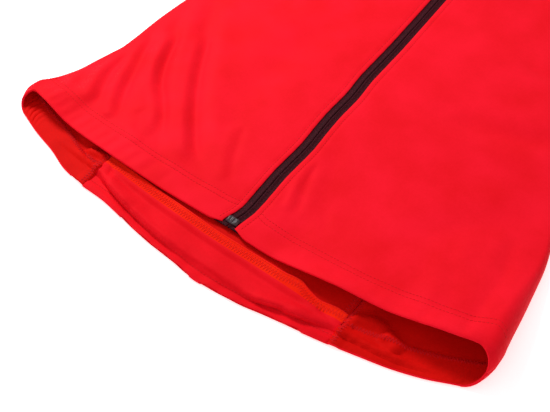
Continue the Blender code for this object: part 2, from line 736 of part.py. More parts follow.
def zip_band(tape_top):
    """Both tapes under the edges of the fronts, and the closed coil on their hidden side."""
    tape = material("zip_tape", (0.018, 0.003, 0.006), 0.6)
    strip("zip_tape_left", [SEAM / 2, ZIP_OPEN, TAPE_WIDE], tape_top, TAPE_WALL, ZIP_LOW, ZIP_HIGH, tape)
    strip("zip_tape_right", [-TAPE_WIDE, -ZIP_OPEN, -SEAM / 2], tape_top, TAPE_WALL, ZIP_LOW, ZIP_HIGH, tape)
    coil = material("zip_coil", (0.03, 0.006, 0.01), 0.35)
    half = COIL_WIDE / 2
    coil_top = tape_top - TAPE_WALL - LAYER
    strip("zip_coil", [-half, half], coil_top, COIL_HIGH, ZIP_LOW + STOP_SIZE[1], ZIP_HIGH - 2, coil)


def block(name, size, centre, finish, bevel, helper=False):
    """A box with softly bevelled edges; a helper only shapes another piece."""
    mesh = bpy.data.meshes.new(name)
    shape = bmesh.new()
    bmesh.ops.create_cube(shape, size=MM)
    bmesh.ops.scale(shape, vec=size, verts=shape.verts)
    shape.to_mesh(mesh)
    shape.free()
    if helper:
        made = bpy.data.objects.new(name, mesh)
        bpy.data.collections["helpers"].objects.link(made)
        made.hide_render = True
        made.display_type = "WIRE"
    else:
        made = add_object(name, mesh, finish)
    made.location = place(centre)
    if bevel:
        rounding = made.modifiers.new("Soft edges", "BEVEL")
        rounding.width = bevel * MM
        rounding.segments = 2
    return made


def combine(target, other, operation):
    joint = target.modifiers.new(operation.title(), "BOOLEAN")
    joint.operation = operation
    joint.object = other


def zip_fittings(tape_top):
    """The stop at the hem, and the slider with its bail and pull tab at the collar."""
    moulded = material("zip_stop", (0.11, 0.09, 0.10), 0.45)
    metal = material("zip_slider", (0.035, 0.02, 0.024), 0.38, 0.6)
    stop_x = float(ZIP_AT(STOP_Y))
    block("zip_stop", STOP_SIZE, (stop_x, STOP_Y, tape_top + LAYER + STOP_SIZE[2] / 2), moulded, 0.4)
    x = float(ZIP_AT(SLIDER_Y))
    plate_top = tape_top + LAYER + SLIDER_SIZE[2]
    slider = block("zip_slider", SLIDER_SIZE, (x, SLIDER_Y, plate_top - SLIDER_SIZE[2] / 2), metal, 0.5)
    bail_size = (2 * BAIL_WIRE, 2 * (BAIL_HALF + BAIL_WIRE), BAIL_RISE + BAIL_WIRE + 0.5)
    bail_z = plate_top - 0.5 + bail_size[2] / 2
    combine(slider, block("bail", bail_size, (x, SLIDER_Y, bail_z), None, 0.25, True), "UNION")
    hole = (4 * BAIL_WIRE, 2 * BAIL_HALF, BAIL_RISE)
    hole_at = (x, SLIDER_Y, plate_top + BAIL_RISE / 2)
    combine(slider, block("bail_hole", hole, hole_at, None, 0, True), "DIFFERENCE")
    pull_tab(metal, (x, SLIDER_Y, plate_top + PULL_PIVOT_RISE))


def pull_tab(metal, pivot):
    """The pull: a flat outline with a hole for the bail, its origin on the bar that it swings on."""
    half, root = PULL_WIDE / 2, -PULL_ROOT
    outline = [(-half, PULL_BAR), (half, PULL_BAR), (half, root), (half * 0.72, root - 3)]
    outline += [(half * 0.62, 5 - PULL_LONG), (half * 0.9, 2 - PULL_LONG), (half * 0.6, -PULL_LONG)]
    outline += [(-x, y) for x, y in outline[:1:-1]]
    hole = [(-PULL_ARM, -PULL_BAR), (-PULL_ARM, root + 1), (PULL_ARM, root + 1), (PULL_ARM, -PULL_BAR)]
    curve = bpy.data.curves.new("zip_pull", "CURVE")
    curve.dimensions = "2D"
    curve.fill_mode = "BOTH"
    curve.extrude = PULL_THICK / 2 * MM
    for points in (outline, hole):
        line = curve.splines.new("POLY")
        line.points.add(len(points) - 1)
        for point, (x, y) in zip(line.points, points):
            point.co = (x * MM, y * MM, 0, 1)
        line.use_cyclic_u = True
    made = add_object("zip_pull", curve, metal)
    made.location = place(pivot)


def main():
    for old in list(bpy.data.objects):
        bpy.data.objects.remove(old)
    for name in ("cycling_jersey", "helpers"):
        bpy.context.scene.collection.children.link(bpy.data.collections.new(name))
    front_panel("front_right", -1, 18)
    front_panel("front_left", 1, 15)
    side_panel("side_right", -1)
    side_panel("side_left", 1)
    back_panel()
    tail()
    pocket()
    sleeve("sleeve_right", -1)
    sleeve("sleeve_left", 1)
    collar()
    tape_top = BODY_HIGH - WALL - LAYER
    zip_band(tape_top)
    zip_fittings(tape_top)


main()
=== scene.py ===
"""The looks of a short-sleeved cycling jersey that lies flat with its front up and its zip closed.

+X is to the viewer's right, +Y runs along the zip towards the collar, and +Z is up from the surface
that it lies on. Sizes are in millimetres in the jersey's own layout, whose zero is the middle of the
front hem, and are turned into metres about the middle of the whole outline. Left and right in the
names are the wearer's, so the right side lies at -X.
"""

import math

import bpy
import numpy as np
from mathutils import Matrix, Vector


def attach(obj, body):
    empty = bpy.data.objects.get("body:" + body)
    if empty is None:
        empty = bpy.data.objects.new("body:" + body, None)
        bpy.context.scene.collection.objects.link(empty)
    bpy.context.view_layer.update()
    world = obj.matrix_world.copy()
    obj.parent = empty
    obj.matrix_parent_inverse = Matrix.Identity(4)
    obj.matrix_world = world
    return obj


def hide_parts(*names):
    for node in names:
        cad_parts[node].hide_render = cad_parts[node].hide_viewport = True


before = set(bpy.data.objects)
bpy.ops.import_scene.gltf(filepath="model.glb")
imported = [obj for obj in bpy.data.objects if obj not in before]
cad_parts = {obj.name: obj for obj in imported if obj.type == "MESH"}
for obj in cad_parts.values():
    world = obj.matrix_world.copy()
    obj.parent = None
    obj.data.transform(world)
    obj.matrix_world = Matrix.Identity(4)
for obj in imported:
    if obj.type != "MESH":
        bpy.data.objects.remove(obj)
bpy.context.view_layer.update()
BODY = "garment"
SIDES = {-1: "right", 1: "left"}
TINY = 1e-9

MM = 0.001

# Cloth and seams
WALL = 1.0  # one layer of knit
HEM_WALL = 2.0  # the knit turned up on itself
SEAM = 0.3  # between two pieces at a seam
LAYER = 0.3  # between a piece and the one that it lies on
HEM_TURN = 24.0  # how far the hem is turned up
CUFF_TURN = 22.0
HALF_STEP = 0.8  # half of the step at the turned-up edge
BODY_HIGH = 7.0  # top of the front above the surface, away from the hem
FLAT_RADIUS = BODY_HIGH / 2

# Whole outline
TAIL_HEM = -53.0
COLLAR_TOP = 630.0
ARMPIT = (240.0, 395.0)
SHOULDER_TIP = (200.0, 545.0)
NECK_POINT = (80.0, 585.0)
CUFF_UNDER = (306.0, 292.0)
CUFF_TOP = (393.0, 402.0)
MIDDLE_Y = (TAIL_HEM + COLLAR_TOP) / 2

# Height along the zip; distance of the side fold from the middle at -X, at +X
SIDE_FOLD = [
    (-25, 213, 217), (-4, 220, 224), (13, 226, 228.5), (27, 219.5, 227), (40, 214.5, 225.5),
    (55, 209, 224), (78, 204, 221), (109, 197, 216.5), (145, 196, 206.5), (200, 191, 191.5),
    (240, 189, 189), (300, 200, 200), (360, 222, 222), (395, 240, 240),
]
# Height along the zip; radius of the side fold at -X, at +X
FOLD_RADIUS = [
    (0, 8.0, 13.5), (30, 6.5, 13.0), (60, 4.2, 11.0), (90, 3.5, 7.5), (120, 3.5, 5.0),
    (160, 3.5, 3.5),
]
# Place across the front hem; height of its top above the surface
HEM_CREST = [
    (-213, 16), (-195, 17.5), (-183, 15), (-170, 11), (-157, 10), (-129, 10.5), (-104, 9.5),
    (-77, 7.8), (-55, 7), (43, 7), (68, 11.5), (88, 16), (110, 19.5), (143, 20.5), (165, 24.5),
    (186, 28), (202, 28.5), (214, 27),
]
# Place across the front; how much lower the front is behind the standing lip of its hem
LIP_FALL = [
    (30, 0), (60, 3), (85, 6), (110, 7.5), (135, 6), (160, 5), (178, 6.5), (196, 6.5), (207, 3),
    (214, 0),
]
LIP_REACH = 22.0  # how far above the hem the front is wholly down
# Line of the front hem
HEM_LOWEST = -4.0
HEM_HALF = 221.0
HEM_SIDE_RISE = 17.0
HEM_ZIP_RISE = 5.0
HEM_ZIP_REACH = 12.0
# Place across; top edge of the tail's seam allowance; lower edge of the soft roll; its fullness
TAIL_ROLL = [
    (-175, 6, -14, 0.0), (-150, 4, -16, 0.35), (-120, 1, -20, 0.8), (-98, -1, -26, 0.95),
    (-65, -4, -35, 1.0), (-34, -6, -41, 1.0), (0, -8, -44, 0.95), (47, -9, -45, 0.9),
    (75, -10, -39, 0.8), (109, -12, -32, 0.75), (120, -12, -29, 0.8), (150, -10, -26, 0.9),
    (175, -6, -22, 0.5), (198, 0, -14, 0.0),
]
ROLL_HIGH = 4.4
# Share of the way from the roll's lower edge to the seam; share of the roll's height
ROLL_SHAPE = [
    (0, 0), (0.15, 0.5), (0.3, 1.0), (0.5, 0.9), (0.675, 0.62), (0.85, 0.35), (1.0, 0.25),
    (1.175, 0.12), (1.35, 0),
]
# Place across; height along the zip of the longer back hem, with the slight wave of its elastic
BACK_HEM = [
    (-215, -6), (-205, -10), (-194, -14.5), (-184, -17), (-165, -23), (-144, -31), (-127, -35),
    (-100, -36.5), (-84, -39), (-61, -44), (-38, -47.5), (-17, -49.5), (10, TAIL_HEM), (42, -51),
    (75, -46), (107, -41.5), (138, -36), (152, -32.5), (168, -29.5), (187, -23.5), (206, -16.5),
    (216, -10),
]
ALLOWANCE = 9.0
TAIL_STEP = 6.0  # where the tail climbs onto the back
# Height along the zip; how far the zip has wandered towards +X
ZIP_WANDER = [
    (0, 3.5), (22, 4.7), (47, 3.8), (65, 3.1), (99, 4.0), (125, 2.4), (145, 1.6), (168, 2.1),
    (200, 0.2), (240, 0.4), (275, -0.3), (360, -2), (440, -1), (500, 0), (560, 0),
]
# Height along the side-back seam; its distance from the middle
BACK_SEAM = [
    (-45, 120), (180, 120), (205, 121), (230, 123), (255, 126.5), (290, 134), (325, 146),
    (360, 163), (395, 186), (428, 207),
]
# Points of the armhole from the armpit to the shoulder tip, at +X
ARMHOLE = [
    ARMPIT,
    (236.5, 400.0),
    (224.0, 412.5),
    (210.5, 432.0),
    (201.0, 461.0),
    (198.0, 500.0),
    SHOULDER_TIP,
]
SEAM_MEETS = 3  # the armhole point where the side-back seam ends
# Points of the front neckline from the zip to the neck point, and of the collar's front edge
NECKLINE = [(6, 510), (22, 512.5), (40, 521), (56, 535), (69, 555), (77, 571), NECK_POINT]
COLLAR_EDGE = [(6, 553), (20, 555), (35, 561), (48, 572), (58, 589), (66, 609), (70, 630)]
# Points of the back neckline and of the collar's back edge, from the neck point inwards
BACK_NECK = [NECK_POINT, (56, 581), (28, 578.5), (0, 578)]
COLLAR_BACK = [(70, 630), (48, 628.5), (24, 627.5), (0, 627)]

# Soft folds of the front: start x, y; middle x, y; end x, y; depth; width
FRONT_FOLDS = [
    (-172, 205, -115, 103, -46, 22, 2.7, 9),
    (-181, 168, -145, 92, -84, 20, 2.4, 8),
    (-194, 146, -173, 88, -146, 32, 2.2, 7),
    (-190, 92, -182, 61, -167, 28, 1.8, 6),
    (-206, 58, -198, 46, -190, 34, 1.2, 6),
    (-60, 250, -72, 170, -66, 90, 1.1, 15),
    (18, 88, 25, 61, 35, 32, 0.8, 6),
    (196, 150, 150, 105, 118, 60, 1.0, 14),
    (180, 235, 128, 208, 78, 204, 1.6, 11),
    (-180, 262, -134, 236, -88, 236, 1.6, 11),
    (226, 378, 178, 352, 126, 348, 2.2, 10),
    (-226, 378, -172, 346, -118, 338, 2.2, 10),
    (216, 402, 168, 404, 118, 424, 1.8, 10),
    (-216, 402, -164, 396, -112, 410, 1.8, 10),
    (188, 512, 140, 470, 108, 422, 1.4, 12),
    (-188, 512, -146, 476, -116, 430, 1.4, 12),
    (66, 478, 72, 420, 62, 350, 1.0, 14),
    (-68, 474, -76, 410, -64, 330, 1.0, 14),
]
MOST_SINK = 3.2
MOST_SWELL = 2.0
FOLD_STEPS = 12
FOLD_SWELL = 0.3  # share of a fold's depth that the cloth beside it swells
FOLD_END = 0.25  # share of a fold's length, and of its depth, at a fading end
ZIP_CALM = (9.0, 30.0)  # from the zip's middle: no fold nearer, full folds farther
SIDE_CALM = 16.0
SHOULDER_CALM = (3.0, 24.0)
# Folds of a sleeve, laid out as at +X, with the same columns
SLEEVE_FOLDS = [
    (250, 398, 282, 412, 322, 440, 1.4, 9),
    (262, 376, 300, 386, 342, 402, 1.2, 8),
    (222, 500, 262, 474, 300, 456, 1.0, 12),
    (278, 342, 306, 356, 332, 380, 0.8, 8),
]

# Rows of points along the seams that two pieces share
SIDE_STATIONS = [
    0, 9, 18, 27, 37, 48, 60, 74, 88, 104, 122, 142, 165, 190, 218, 250, 285, 320, 360, 395,
]
SEAM_LOW = [-30, -21, -12, -3, 12, 30, 52, 78, 108, 145]
SEAM_HIGH = [180, 205, 230, 255, 290, 325, 360, 395]
FIRST_SHARED = 4  # the first side station that a piece takes as it is, above its own hem
BACK_LOW = [-12, 6, 28, 50, 72, 94, 116, 132, 142, 149, 156, 164]
SHOULDER_COLUMNS = 5
ROLL_ROWS = [0.1, 0.2, 0.32, 0.5, 0.75, 0.97]
SLEEVE_ROWS = [0, 0.05, 0.18, 0.36, 0.55, 0.74, 0.9, 1.0]
CUFF_RADIUS = 2.8
CAP_BOW = 7.0
UNDER_BOW = 3.0
COLLAR_ROWS = [0, 0.25, 0.5, 0.75, 1.0]
COLLAR_GAP = 0.15

# Pocket across the lower back
POCKET_TOP = 145.0
STEP_SPAN = (3.0, 14.0)  # the stretch above the pocket in which the back comes down to the surface

# Zip
ZIP_OPEN = 6.0  # half of the band that shows between the fronts
TAPE_WIDE = 12.5
TAPE_WALL = 1.0
ZIP_LOW = -1.5
ZIP_HIGH = 551.0
STOP_SIZE = (10.8, 6.5)
STOP_Y = 5.0

# Camera
PHOTO_WIDE = 550
SENSOR = 36.0
CAMERA_FOCAL = 1010.0
CAMERA_AROUND = 36.2
CAMERA_UP = 52.2
CAMERA_FAR = 0.798
CAMERA_TARGET = (16.0, 40.0)
CLIP_NEAR = 0.02

# Table and light
FLOOR_HALF = 2.5
FLOOR_Z = -0.0003
FLOOR_DARK = (0.93, 0.93, 0.93)
FLOOR_LIGHT = (0.97, 0.97, 0.97)
FLOOR_GLOW = 0.55
ROOM = 0.5
LAMPS = [
    ("key_lamp", (-0.88, 0.22, 0.92), (0.0, -0.2, 0.0), 0.4, 13.2),
    ("fill_lamp", (0.1, -1.5, 0.7), (0.1, -0.3, 0.0), 0.8, 1.4),
]

# Near the hem the zip leans towards -X: height along the zip; lean; half of the band that shows
ZIP_LEAN = [
    (-6, -3.0, 6.5), (2, -2.9, 6.4), (8, -2.1, 6.1), (14, -1.0, 5.7), (22, -0.2, 5.7), (34, 0, 6.0),
]

# How finely the cloth is made, in millimetres between points
HEM_STEP = 1.3
NEAR_STEP = 2.6
FAR_STEP = 5.5
SLEEVE_STEP = NEAR_STEP * 1.2
HEM_ZONE = 34.0
NEAR_ZONE = 300.0
TURNS = [math.radians(a) for a in (12, 24, 36, 48, 60, 72, 82, 90)]
TURN_FALL = np.array([1 - math.cos(turn) for turn in TURNS])
LOOP_TURNS = [math.radians(a) for a in range(15, 180, 15)]
RIM_TURNS = [math.radians(a) for a in (30, 60, 90, 120, 150)]
SEAM_BULGE = 0.15
CORNER = 0.8  # how round the hem's corners are, 0 to 1
CORNER_FADE = (60, 30)  # heights between which the side folds go from plain to rounded
LAYER_RISE = 1.5  # a sleeve's layers lie at least this far from the middle of its height
CUFF_BULGE = 0.8
BAND_BULGE = 0.4
COLLAR_BULGE = (SEAM_BULGE, 0.5, 0.4, 0.4)
TAPE_BULGE = (0.3, 0.3, 0.0, 0.2)

# Knits: dark and light colour, roughness, sheen
KNITS = {
    "knit_outside": ((0.87, 0.0055, 0.014), (0.97, 0.008, 0.024), 0.62, 0.05),
    # the inside: the knit's own more orange reverse side, with painted shade; it is darker than the
    # outside to stand for the shade inside the jersey
    "knit_inside_painted_shade": ((0.62, 0.003, 0.002), (0.80, 0.006, 0.004), 0.65, 0.02),
    "knit_tail": ((0.78, 0.004, 0.010), (0.93, 0.007, 0.017), 0.62, 0.03),
    "knit_allowance": ((0.90, 0.010, 0.002), (1.0, 0.020, 0.004), 0.65, 0.02),
}
THREADS = {
    "thread_red": ((0.60, 0.003, 0.008), (0.85, 0.008, 0.018)),
    "thread_orange_red": ((0.80, 0.006, 0.003), (0.97, 0.012, 0.006)),
}

# Sewing
HEM_STITCH = (21.5, 26.0)
HEM_LOCK = HEM_TURN - 1.5  # the overlocked edge of the turned-up hem, seen from inside
SEAM_LOCK = 3.2
POCKET_STITCH = (14.0, 17.0)
TAIL_STITCH = 8.0
CUFF_STITCH = (19.0, 22.5)
COLLAR_STITCH = 3.0
BACK_LOCK = 3.0
TAIL_LOCK = 4.6
TAIL_CHAIN = 0.8
TAIL_CHAIN_STITCH = (2.4, 2.1)  # pitch and length
# Width and pitch of the overlocks
FRONT_ZIGZAG = (4.0, 2.6)
SIDE_ZIGZAG = (4.0, 2.4)
SEAM_ZIGZAG = (5.0, 2.8)
TAIL_ZIGZAG = (7.0, 2.5)
ZIP_STITCH = 4.6
STITCH_LONG = 2.3
STITCH_PITCH = 2.9
THREAD = 0.24
FINE_THREAD = THREAD * 0.8
STITCH_PROUD = 0.35  # of a thread's radius
LOCK_PROUD = 0.5
STITCH_DIP = 0.32
STITCH_DIP_WIDE = 1.5


def tangents(steps):
    """Tangents at a row of points, from the steps between them, for a curve that never overshoots."""
    found = np.concatenate([steps[:1], np.zeros(steps[1:].shape), steps[-1:]])
    before, after = steps[:-1], steps[1:]
    same = before * after > 0
    found[1:-1][same] = 2 * before[same] * after[same] / (before[same] + after[same])
    return found


def cubic(t, low, high, leaving, arriving):
    """A curve from low to high with the given tangents at its two ends."""
    start = (1 + 2 * t) * (1 - t) ** 2 * low + t * (1 - t) ** 2 * leaving
    return start + t * t * (3 - 2 * t) * high + t * t * (t - 1) * arriving


def smooth(rows, column):
    """A smooth curve through one column of a table against its first column."""
    at = np.array([row[0] for row in rows], float)
    value = np.array([row[column] for row in rows], float)
    tangent = tangents(np.diff(value) / np.diff(at))

    def curve(x):
        x = np.clip(np.asarray(x, float), at[0], at[-1])
        i = np.clip(np.searchsorted(at, x, side="right") - 1, 0, len(at) - 2)
        step = at[i + 1] - at[i]
        t = (x - at[i]) / step
        return cubic(t, value[i], value[i + 1], step * tangent[i], step * tangent[i + 1])

    return curve


def ease(low, high, x):
    """0 at low, 1 at high, and a soft step between them."""
    t = np.clip((np.asarray(x, float) - low) / (high - low), 0, 1)
    return t * t * (3 - 2 * t)


def between(stops, x):
    """1 between the two middle stops, 0 outside the outer two, and soft steps between them."""
    return ease(*stops[:2], x) * ease(*stops[:1:-1], x)


def faded(along, end):
    """1 along a line, and fading to 0 over a share of it at both its ends."""
    return ease(0, end, along) * ease(0, end, 1 - along)


def wavy(at, long, sway, sway_long):
    """A wave of uneven length along a line, from -1 to 1."""
    return np.sin(at / long + sway * np.sin(at / sway_long))


FOLD_AT = {-1: smooth(SIDE_FOLD, 1), 1: smooth(SIDE_FOLD, 2)}
RADIUS_AT = {-1: smooth(FOLD_RADIUS, 1), 1: smooth(FOLD_RADIUS, 2)}
CREST_AT = smooth(HEM_CREST, 1)
FALL_AT = smooth(LIP_FALL, 1)
ROLL_TOP = smooth(TAIL_ROLL, 1)
ROLL_LINE = smooth(TAIL_ROLL, 2)
ROLL_FULL = smooth(TAIL_ROLL, 3)
ROLL_AT = smooth(ROLL_SHAPE, 1)
ZIP_AT = smooth(ZIP_WANDER, 1)
SEAM_AT = smooth(BACK_SEAM, 1)
back_hem = smooth(BACK_HEM, 1)


def seam_y(x):
    """Height along the zip of the seam between the back and its tail."""
    return ROLL_TOP(x) - ALLOWANCE


def front_hem(x):
    """Height along the zip of the front hem: lowest beside the zip, drawn up at it and at the sides."""
    at_side = HEM_SIDE_RISE * (np.abs(x) / HEM_HALF) ** 4
    at_zip = HEM_ZIP_RISE * np.exp(-(((x - ZIP_AT(0)) / HEM_ZIP_REACH) ** 2))
    return HEM_LOWEST + at_side + at_zip


def nearest(x, y, line):
    """Distance from a line of points, which side of it, 1 or -1, and how far along it, 0 to 1."""
    best = np.full(np.shape(x), np.inf)
    side, along = np.zeros(np.shape(x)), np.zeros(np.shape(x))
    for k, (a, b) in enumerate(zip(line[:-1], line[1:])):
        d = b - a
        u = np.clip(((x - a[0]) * d[0] + (y - a[1]) * d[1]) / (d @ d), 0, 1)
        to_x, to_y = x - a[0] - u * d[0], y - a[1] - u * d[1]
        far = np.hypot(to_x, to_y)
        side = np.where(far < best, np.sign(d[0] * to_y - d[1] * to_x), side)
        along = np.where(far < best, (k + u) / (len(line) - 1), along)
        best = np.minimum(best, far)
    return best, side, along


def near_curve(x, y, fold):
    """Distance from a fold's bowed line, and how far along it, 0 to 1."""
    start, middle, end = (np.array(fold[i : i + 2], float) for i in (0, 2, 4))
    t = np.linspace(0, 1, FOLD_STEPS + 1)[:, None]
    line = (1 - t) ** 2 * start + 2 * t * (1 - t) * (2 * middle - (start + end) / 2) + t * t * end
    best, _, along = nearest(x, y, line)
    return best, along


def sink(x, y, folds):
    """How far the soft folds lower the cloth, with a slight swell on both sides of each."""
    total = np.zeros(np.shape(x))
    for fold in folds:
        depth, width = fold[6:]
        away, along = near_curve(x, y, fold)
        swell = FOLD_SWELL * np.exp(-(((away - 2 * width) / width) ** 2))
        trough = np.exp(-((away / width) ** 2)) - swell
        total = total + depth * (FOLD_END + (1 - FOLD_END) * faded(along, FOLD_END)) * trough
    return np.clip(total, -MOST_SWELL, MOST_SINK)


def fold_edge(x, y):
    """How far from the middle the front starts to turn round its side fold."""
    return np.where(x < 0, FOLD_AT[-1](y) - RADIUS_AT[-1](y), FOLD_AT[1](y) - RADIUS_AT[1](y))


def front_height(x, y):
    """Top of the front above the surface."""
    x, y = np.asarray(x, float), np.asarray(y, float)
    edge = fold_edge(x, y)
    share = np.clip(np.abs(x) / edge, 0, 1)
    hem_x = np.where(x < 0, HEM_CREST[0][0], HEM_CREST[-1][0]) * share
    lift = {s: (2 * RADIUS_AT[s](y) - BODY_HIGH) / (2 * RADIUS_AT[s](0) - BODY_HIGH) for s in (-1, 1)}
    mix = (hem_x - HEM_CREST[0][0]) / (HEM_CREST[-1][0] - HEM_CREST[0][0])
    fall = FALL_AT(hem_x) * ease(0, LIP_REACH, y - front_hem(x))
    lifted = (CREST_AT(hem_x) - BODY_HIGH - fall) * (lift[-1] * (1 - mix) + lift[1] * mix)
    clear = ease(*ZIP_CALM, np.abs(x - ZIP_AT(y)))
    above_armpit = ease(ARMPIT[1], ARMPIT[1] + SIDE_CALM, y)
    clear = clear * np.maximum(ease(0, SIDE_CALM, edge - np.abs(x)), above_armpit)
    slope = (NECK_POINT[1] - SHOULDER_TIP[1]) / (SHOULDER_TIP[0] - NECK_POINT[0])
    clear = clear * ease(*SHOULDER_CALM, NECK_POINT[1] - slope * (np.abs(x) - NECK_POINT[0]) - y)
    return BODY_HIGH + lifted - sink(x, y, FRONT_FOLDS) * clear


def roll_height(x, y):
    """Underside of the soft roll above the back hem: steep on the hem side, slack towards the seam."""
    line = ROLL_LINE(x)
    return ROLL_HIGH * ROLL_FULL(x) * ROLL_AT((y - line) / (seam_y(x) - line))


def back_height(y):
    """Underside of the back: over the pocket low down, then on the surface."""
    return (WALL + LAYER) * (1 - ease(*STEP_SPAN, y - POCKET_TOP))


def polyline_normals(points):
    """Unit normals of a row of points, to the left of its direction."""
    d = np.gradient(points, axis=0)
    d /= np.linalg.norm(d, axis=1)[:, None]
    return np.stack([-d[:, 1], d[:, 0]], axis=1)


def fractions(points):
    """How far along a row of points each one lies, 0 to 1."""
    step = np.linalg.norm(np.diff(points, axis=0), axis=1)
    return np.concatenate([[0], np.cumsum(step)]) / step.sum()


def patch(bottom, top, start, end):
    """A flat grid of points that fills the space between four rows of points."""
    u = ((fractions(bottom) + fractions(top)) / 2)[None, :, None]
    v = ((fractions(start) + fractions(end)) / 2)[:, None, None]
    across = (1 - v) * bottom[None] + v * top[None]
    along = (1 - u) * start[:, None] + u * end[:, None]
    low = (1 - u) * bottom[0] + u * bottom[-1]
    high = (1 - u) * top[0] + u * top[-1]
    return across + along - (1 - v) * low - v * high


def mirrored(points, side):
    return np.array(points, float) * (side, 1)


LEAN_AT = smooth(ZIP_LEAN, 1)
HALF_AT = smooth(ZIP_LEAN, 2)


def zip_line(y):
    """The zip's middle line."""
    return ZIP_AT(y) + LEAN_AT(y)


def with_bend(grid, outer, turns):
    """Adds a column for each turn between the grid's last column and the outer points.

    Near the hem the columns round the corner instead of cutting it.
    """
    inner = grid[:, -1]
    rounded = CORNER * ease(*CORNER_FADE, inner[:, 1:])
    new = []
    for turn in turns:
        out = np.full(rounded.shape, math.sin(turn))
        up = out * (1 - rounded) + (1 - math.cos(turn)) * rounded
        new.append(inner + (outer - inner) * np.concatenate([out, up], axis=1))
    return np.concatenate([grid, np.stack(new, axis=1)], axis=1)


def rolled_over(grid, edge):
    """Adds a row for each turn between the grid's last row and an edge."""
    last = grid[-1]
    return np.concatenate([grid, [last + (edge - last) * math.sin(turn) for turn in TURNS]])


def lifted_rows(points, hem_y):
    """Starts a side row at its own hem and spreads the next points up to the first shared one."""
    points[:FIRST_SHARED, 1] = np.linspace(hem_y, points[FIRST_SHARED, 1], FIRST_SHARED + 1)[:-1]
    return points


def side_rows(side):
    """The side fold at its outermost line and one radius inside it."""
    y = np.array(SIDE_STATIONS, float)
    x, radius = FOLD_AT[side](y), RADIUS_AT[side](y)
    return np.stack([x, y], axis=1), np.stack([x - radius, y], axis=1)


def seam_rows(low, gap):
    """The side-back seam at +X from its low rows to the armhole, moved by gap away from the middle."""
    y = np.array(list(low) + SEAM_HIGH, float)
    line = np.concatenate([np.stack([SEAM_AT(y), y], axis=1), [ARMHOLE[SEAM_MEETS]]])
    return line - polyline_normals(line) * gap


def bowed(start, end, shares, bow):
    """Points from start to end, with a bow to the left of that direction in the middle."""
    reach = end - start
    left = np.array([-reach[1], reach[0]]) / np.linalg.norm(reach)
    line = start + reach * np.array(shares)[:, None]
    return line + left * bow * np.sin(math.pi * np.array(shares))[:, None]


def unit(vectors):
    return vectors / np.linalg.norm(vectors, axis=-1, keepdims=True)


def dense(points, at):
    """Rows of points read off at fractional row numbers, on a curve that never overshoots them."""
    points = np.asarray(points, float)
    tangent = tangents(np.diff(points, axis=0))
    i = np.clip(np.floor(at).astype(int), 0, len(points) - 2)
    t = (np.asarray(at) - i).reshape(-1, *[1] * (points.ndim - 1))
    return cubic(t, points[i], points[i + 1], tangent[i], tangent[i + 1])


def dense_both(grid, rows_at, columns_at):
    return dense(dense(grid, rows_at).transpose(1, 0, 2), columns_at).transpose(1, 0, 2)


def marks(line, steps):
    """Fractional row numbers that split each stretch of a line into even parts of about a step."""
    long = np.linalg.norm(np.diff(line, axis=0), axis=1)
    counts = np.maximum(1, np.ceil(long / steps)).astype(int)
    return np.concatenate([i + np.arange(n) / n for i, n in enumerate(counts)] + [[len(line) - 1]])


def steps_up(line):
    """The step for each stretch of a line that runs up the jersey from its hem."""
    y = line[1:, 1]
    return np.where(y < HEM_ZONE, HEM_STEP, np.where(y < NEAR_ZONE, NEAR_STEP, FAR_STEP))


def in_space(grid, heights):
    return np.concatenate([grid, heights[..., None]], axis=2)


def surface_normals(points, up, loop=False):
    """Unit normals of a grid of points, up or down where the grid starts."""
    across = np.gradient(points, axis=1)
    if loop:
        across = (np.roll(points, -1, axis=1) - np.roll(points, 1, axis=1)) / 2
    normals = unit(np.cross(across, np.gradient(points, axis=0)) + TINY)
    turn = normals[1:-1, 1, 2].mean()
    normals = normals if (turn > 0) == up else -normals
    if loop:
        # a tight corner of the grid may turn over: the upper layer faces up, and the lower one down
        rise = points[..., 2] - points[..., 2].mean()
        wrong = (np.abs(rise) > LAYER_RISE) & (normals[..., 2] * rise < 0)
        normals = np.where(wrong[..., None], -normals, normals)
    return normals


def show(name, data):
    made = bpy.data.objects.new(name, data)
    bpy.context.scene.collection.objects.link(made)
    return made


def link(name, mesh, node):
    """Adds a piece that stands for a node of the frame and moves with the garment."""
    made = show(name, mesh)
    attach(made, BODY)
    if node:
        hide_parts(node)
    return made


def new_mesh(name, points, faces, looks, kinds=None):
    """A smooth mesh from points in the layout's millimetres; kinds picks a look for each face."""
    mesh = bpy.data.meshes.new(name)
    placed = (np.asarray(points, float) - (0, MIDDLE_Y, 0)) * MM
    mesh.from_pydata(placed.tolist(), [], [list(face) for face in faces])
    for look in looks:
        mesh.materials.append(look)
    if kinds is not None:
        mesh.polygons.foreach_set("material_index", np.asarray(kinds, np.int32))
    mesh.shade_smooth()
    mesh.update()
    return mesh


def quads(rows, columns, first=0, loop=False):
    """The faces of a grid whose points are numbered row by row."""
    j, i = np.meshgrid(np.arange(rows - 1), np.arange(columns if loop else columns - 1), indexing="ij")
    k = (i + 1) % columns
    corners = (j * columns + i, j * columns + k, (j + 1) * columns + k, (j + 1) * columns + i)
    return first + np.stack(corners, axis=-1).reshape(-1, 4)


def border_ids(rows, columns):
    """The numbers of a grid's border points, once round."""
    bottom = np.arange(columns)
    right = np.arange(1, rows) * columns + columns - 1
    top = (rows - 1) * columns + np.arange(columns - 2, -1, -1)
    left = np.arange(rows - 2, 0, -1) * columns
    return np.concatenate([bottom, right, top, left])


def outward(points, loop, bulge):
    """How far and which way the cloth's edge bulges at each border point of a grid.

    bulge holds the amounts at the first row, the last row, the first column and the last column.
    """
    reach = np.zeros(points.shape)
    reach[0] += unit(points[0] - points[1] + TINY) * bulge[0]
    reach[-1] += unit(points[-1] - points[-2] + TINY) * bulge[1]
    if not loop:
        reach[1:-1, 0] += unit(points[1:-1, 0] - points[1:-1, 1] + TINY) * bulge[2]
        reach[1:-1, -1] += unit(points[1:-1, -1] - points[1:-1, -2] + TINY) * bulge[3]
    return reach


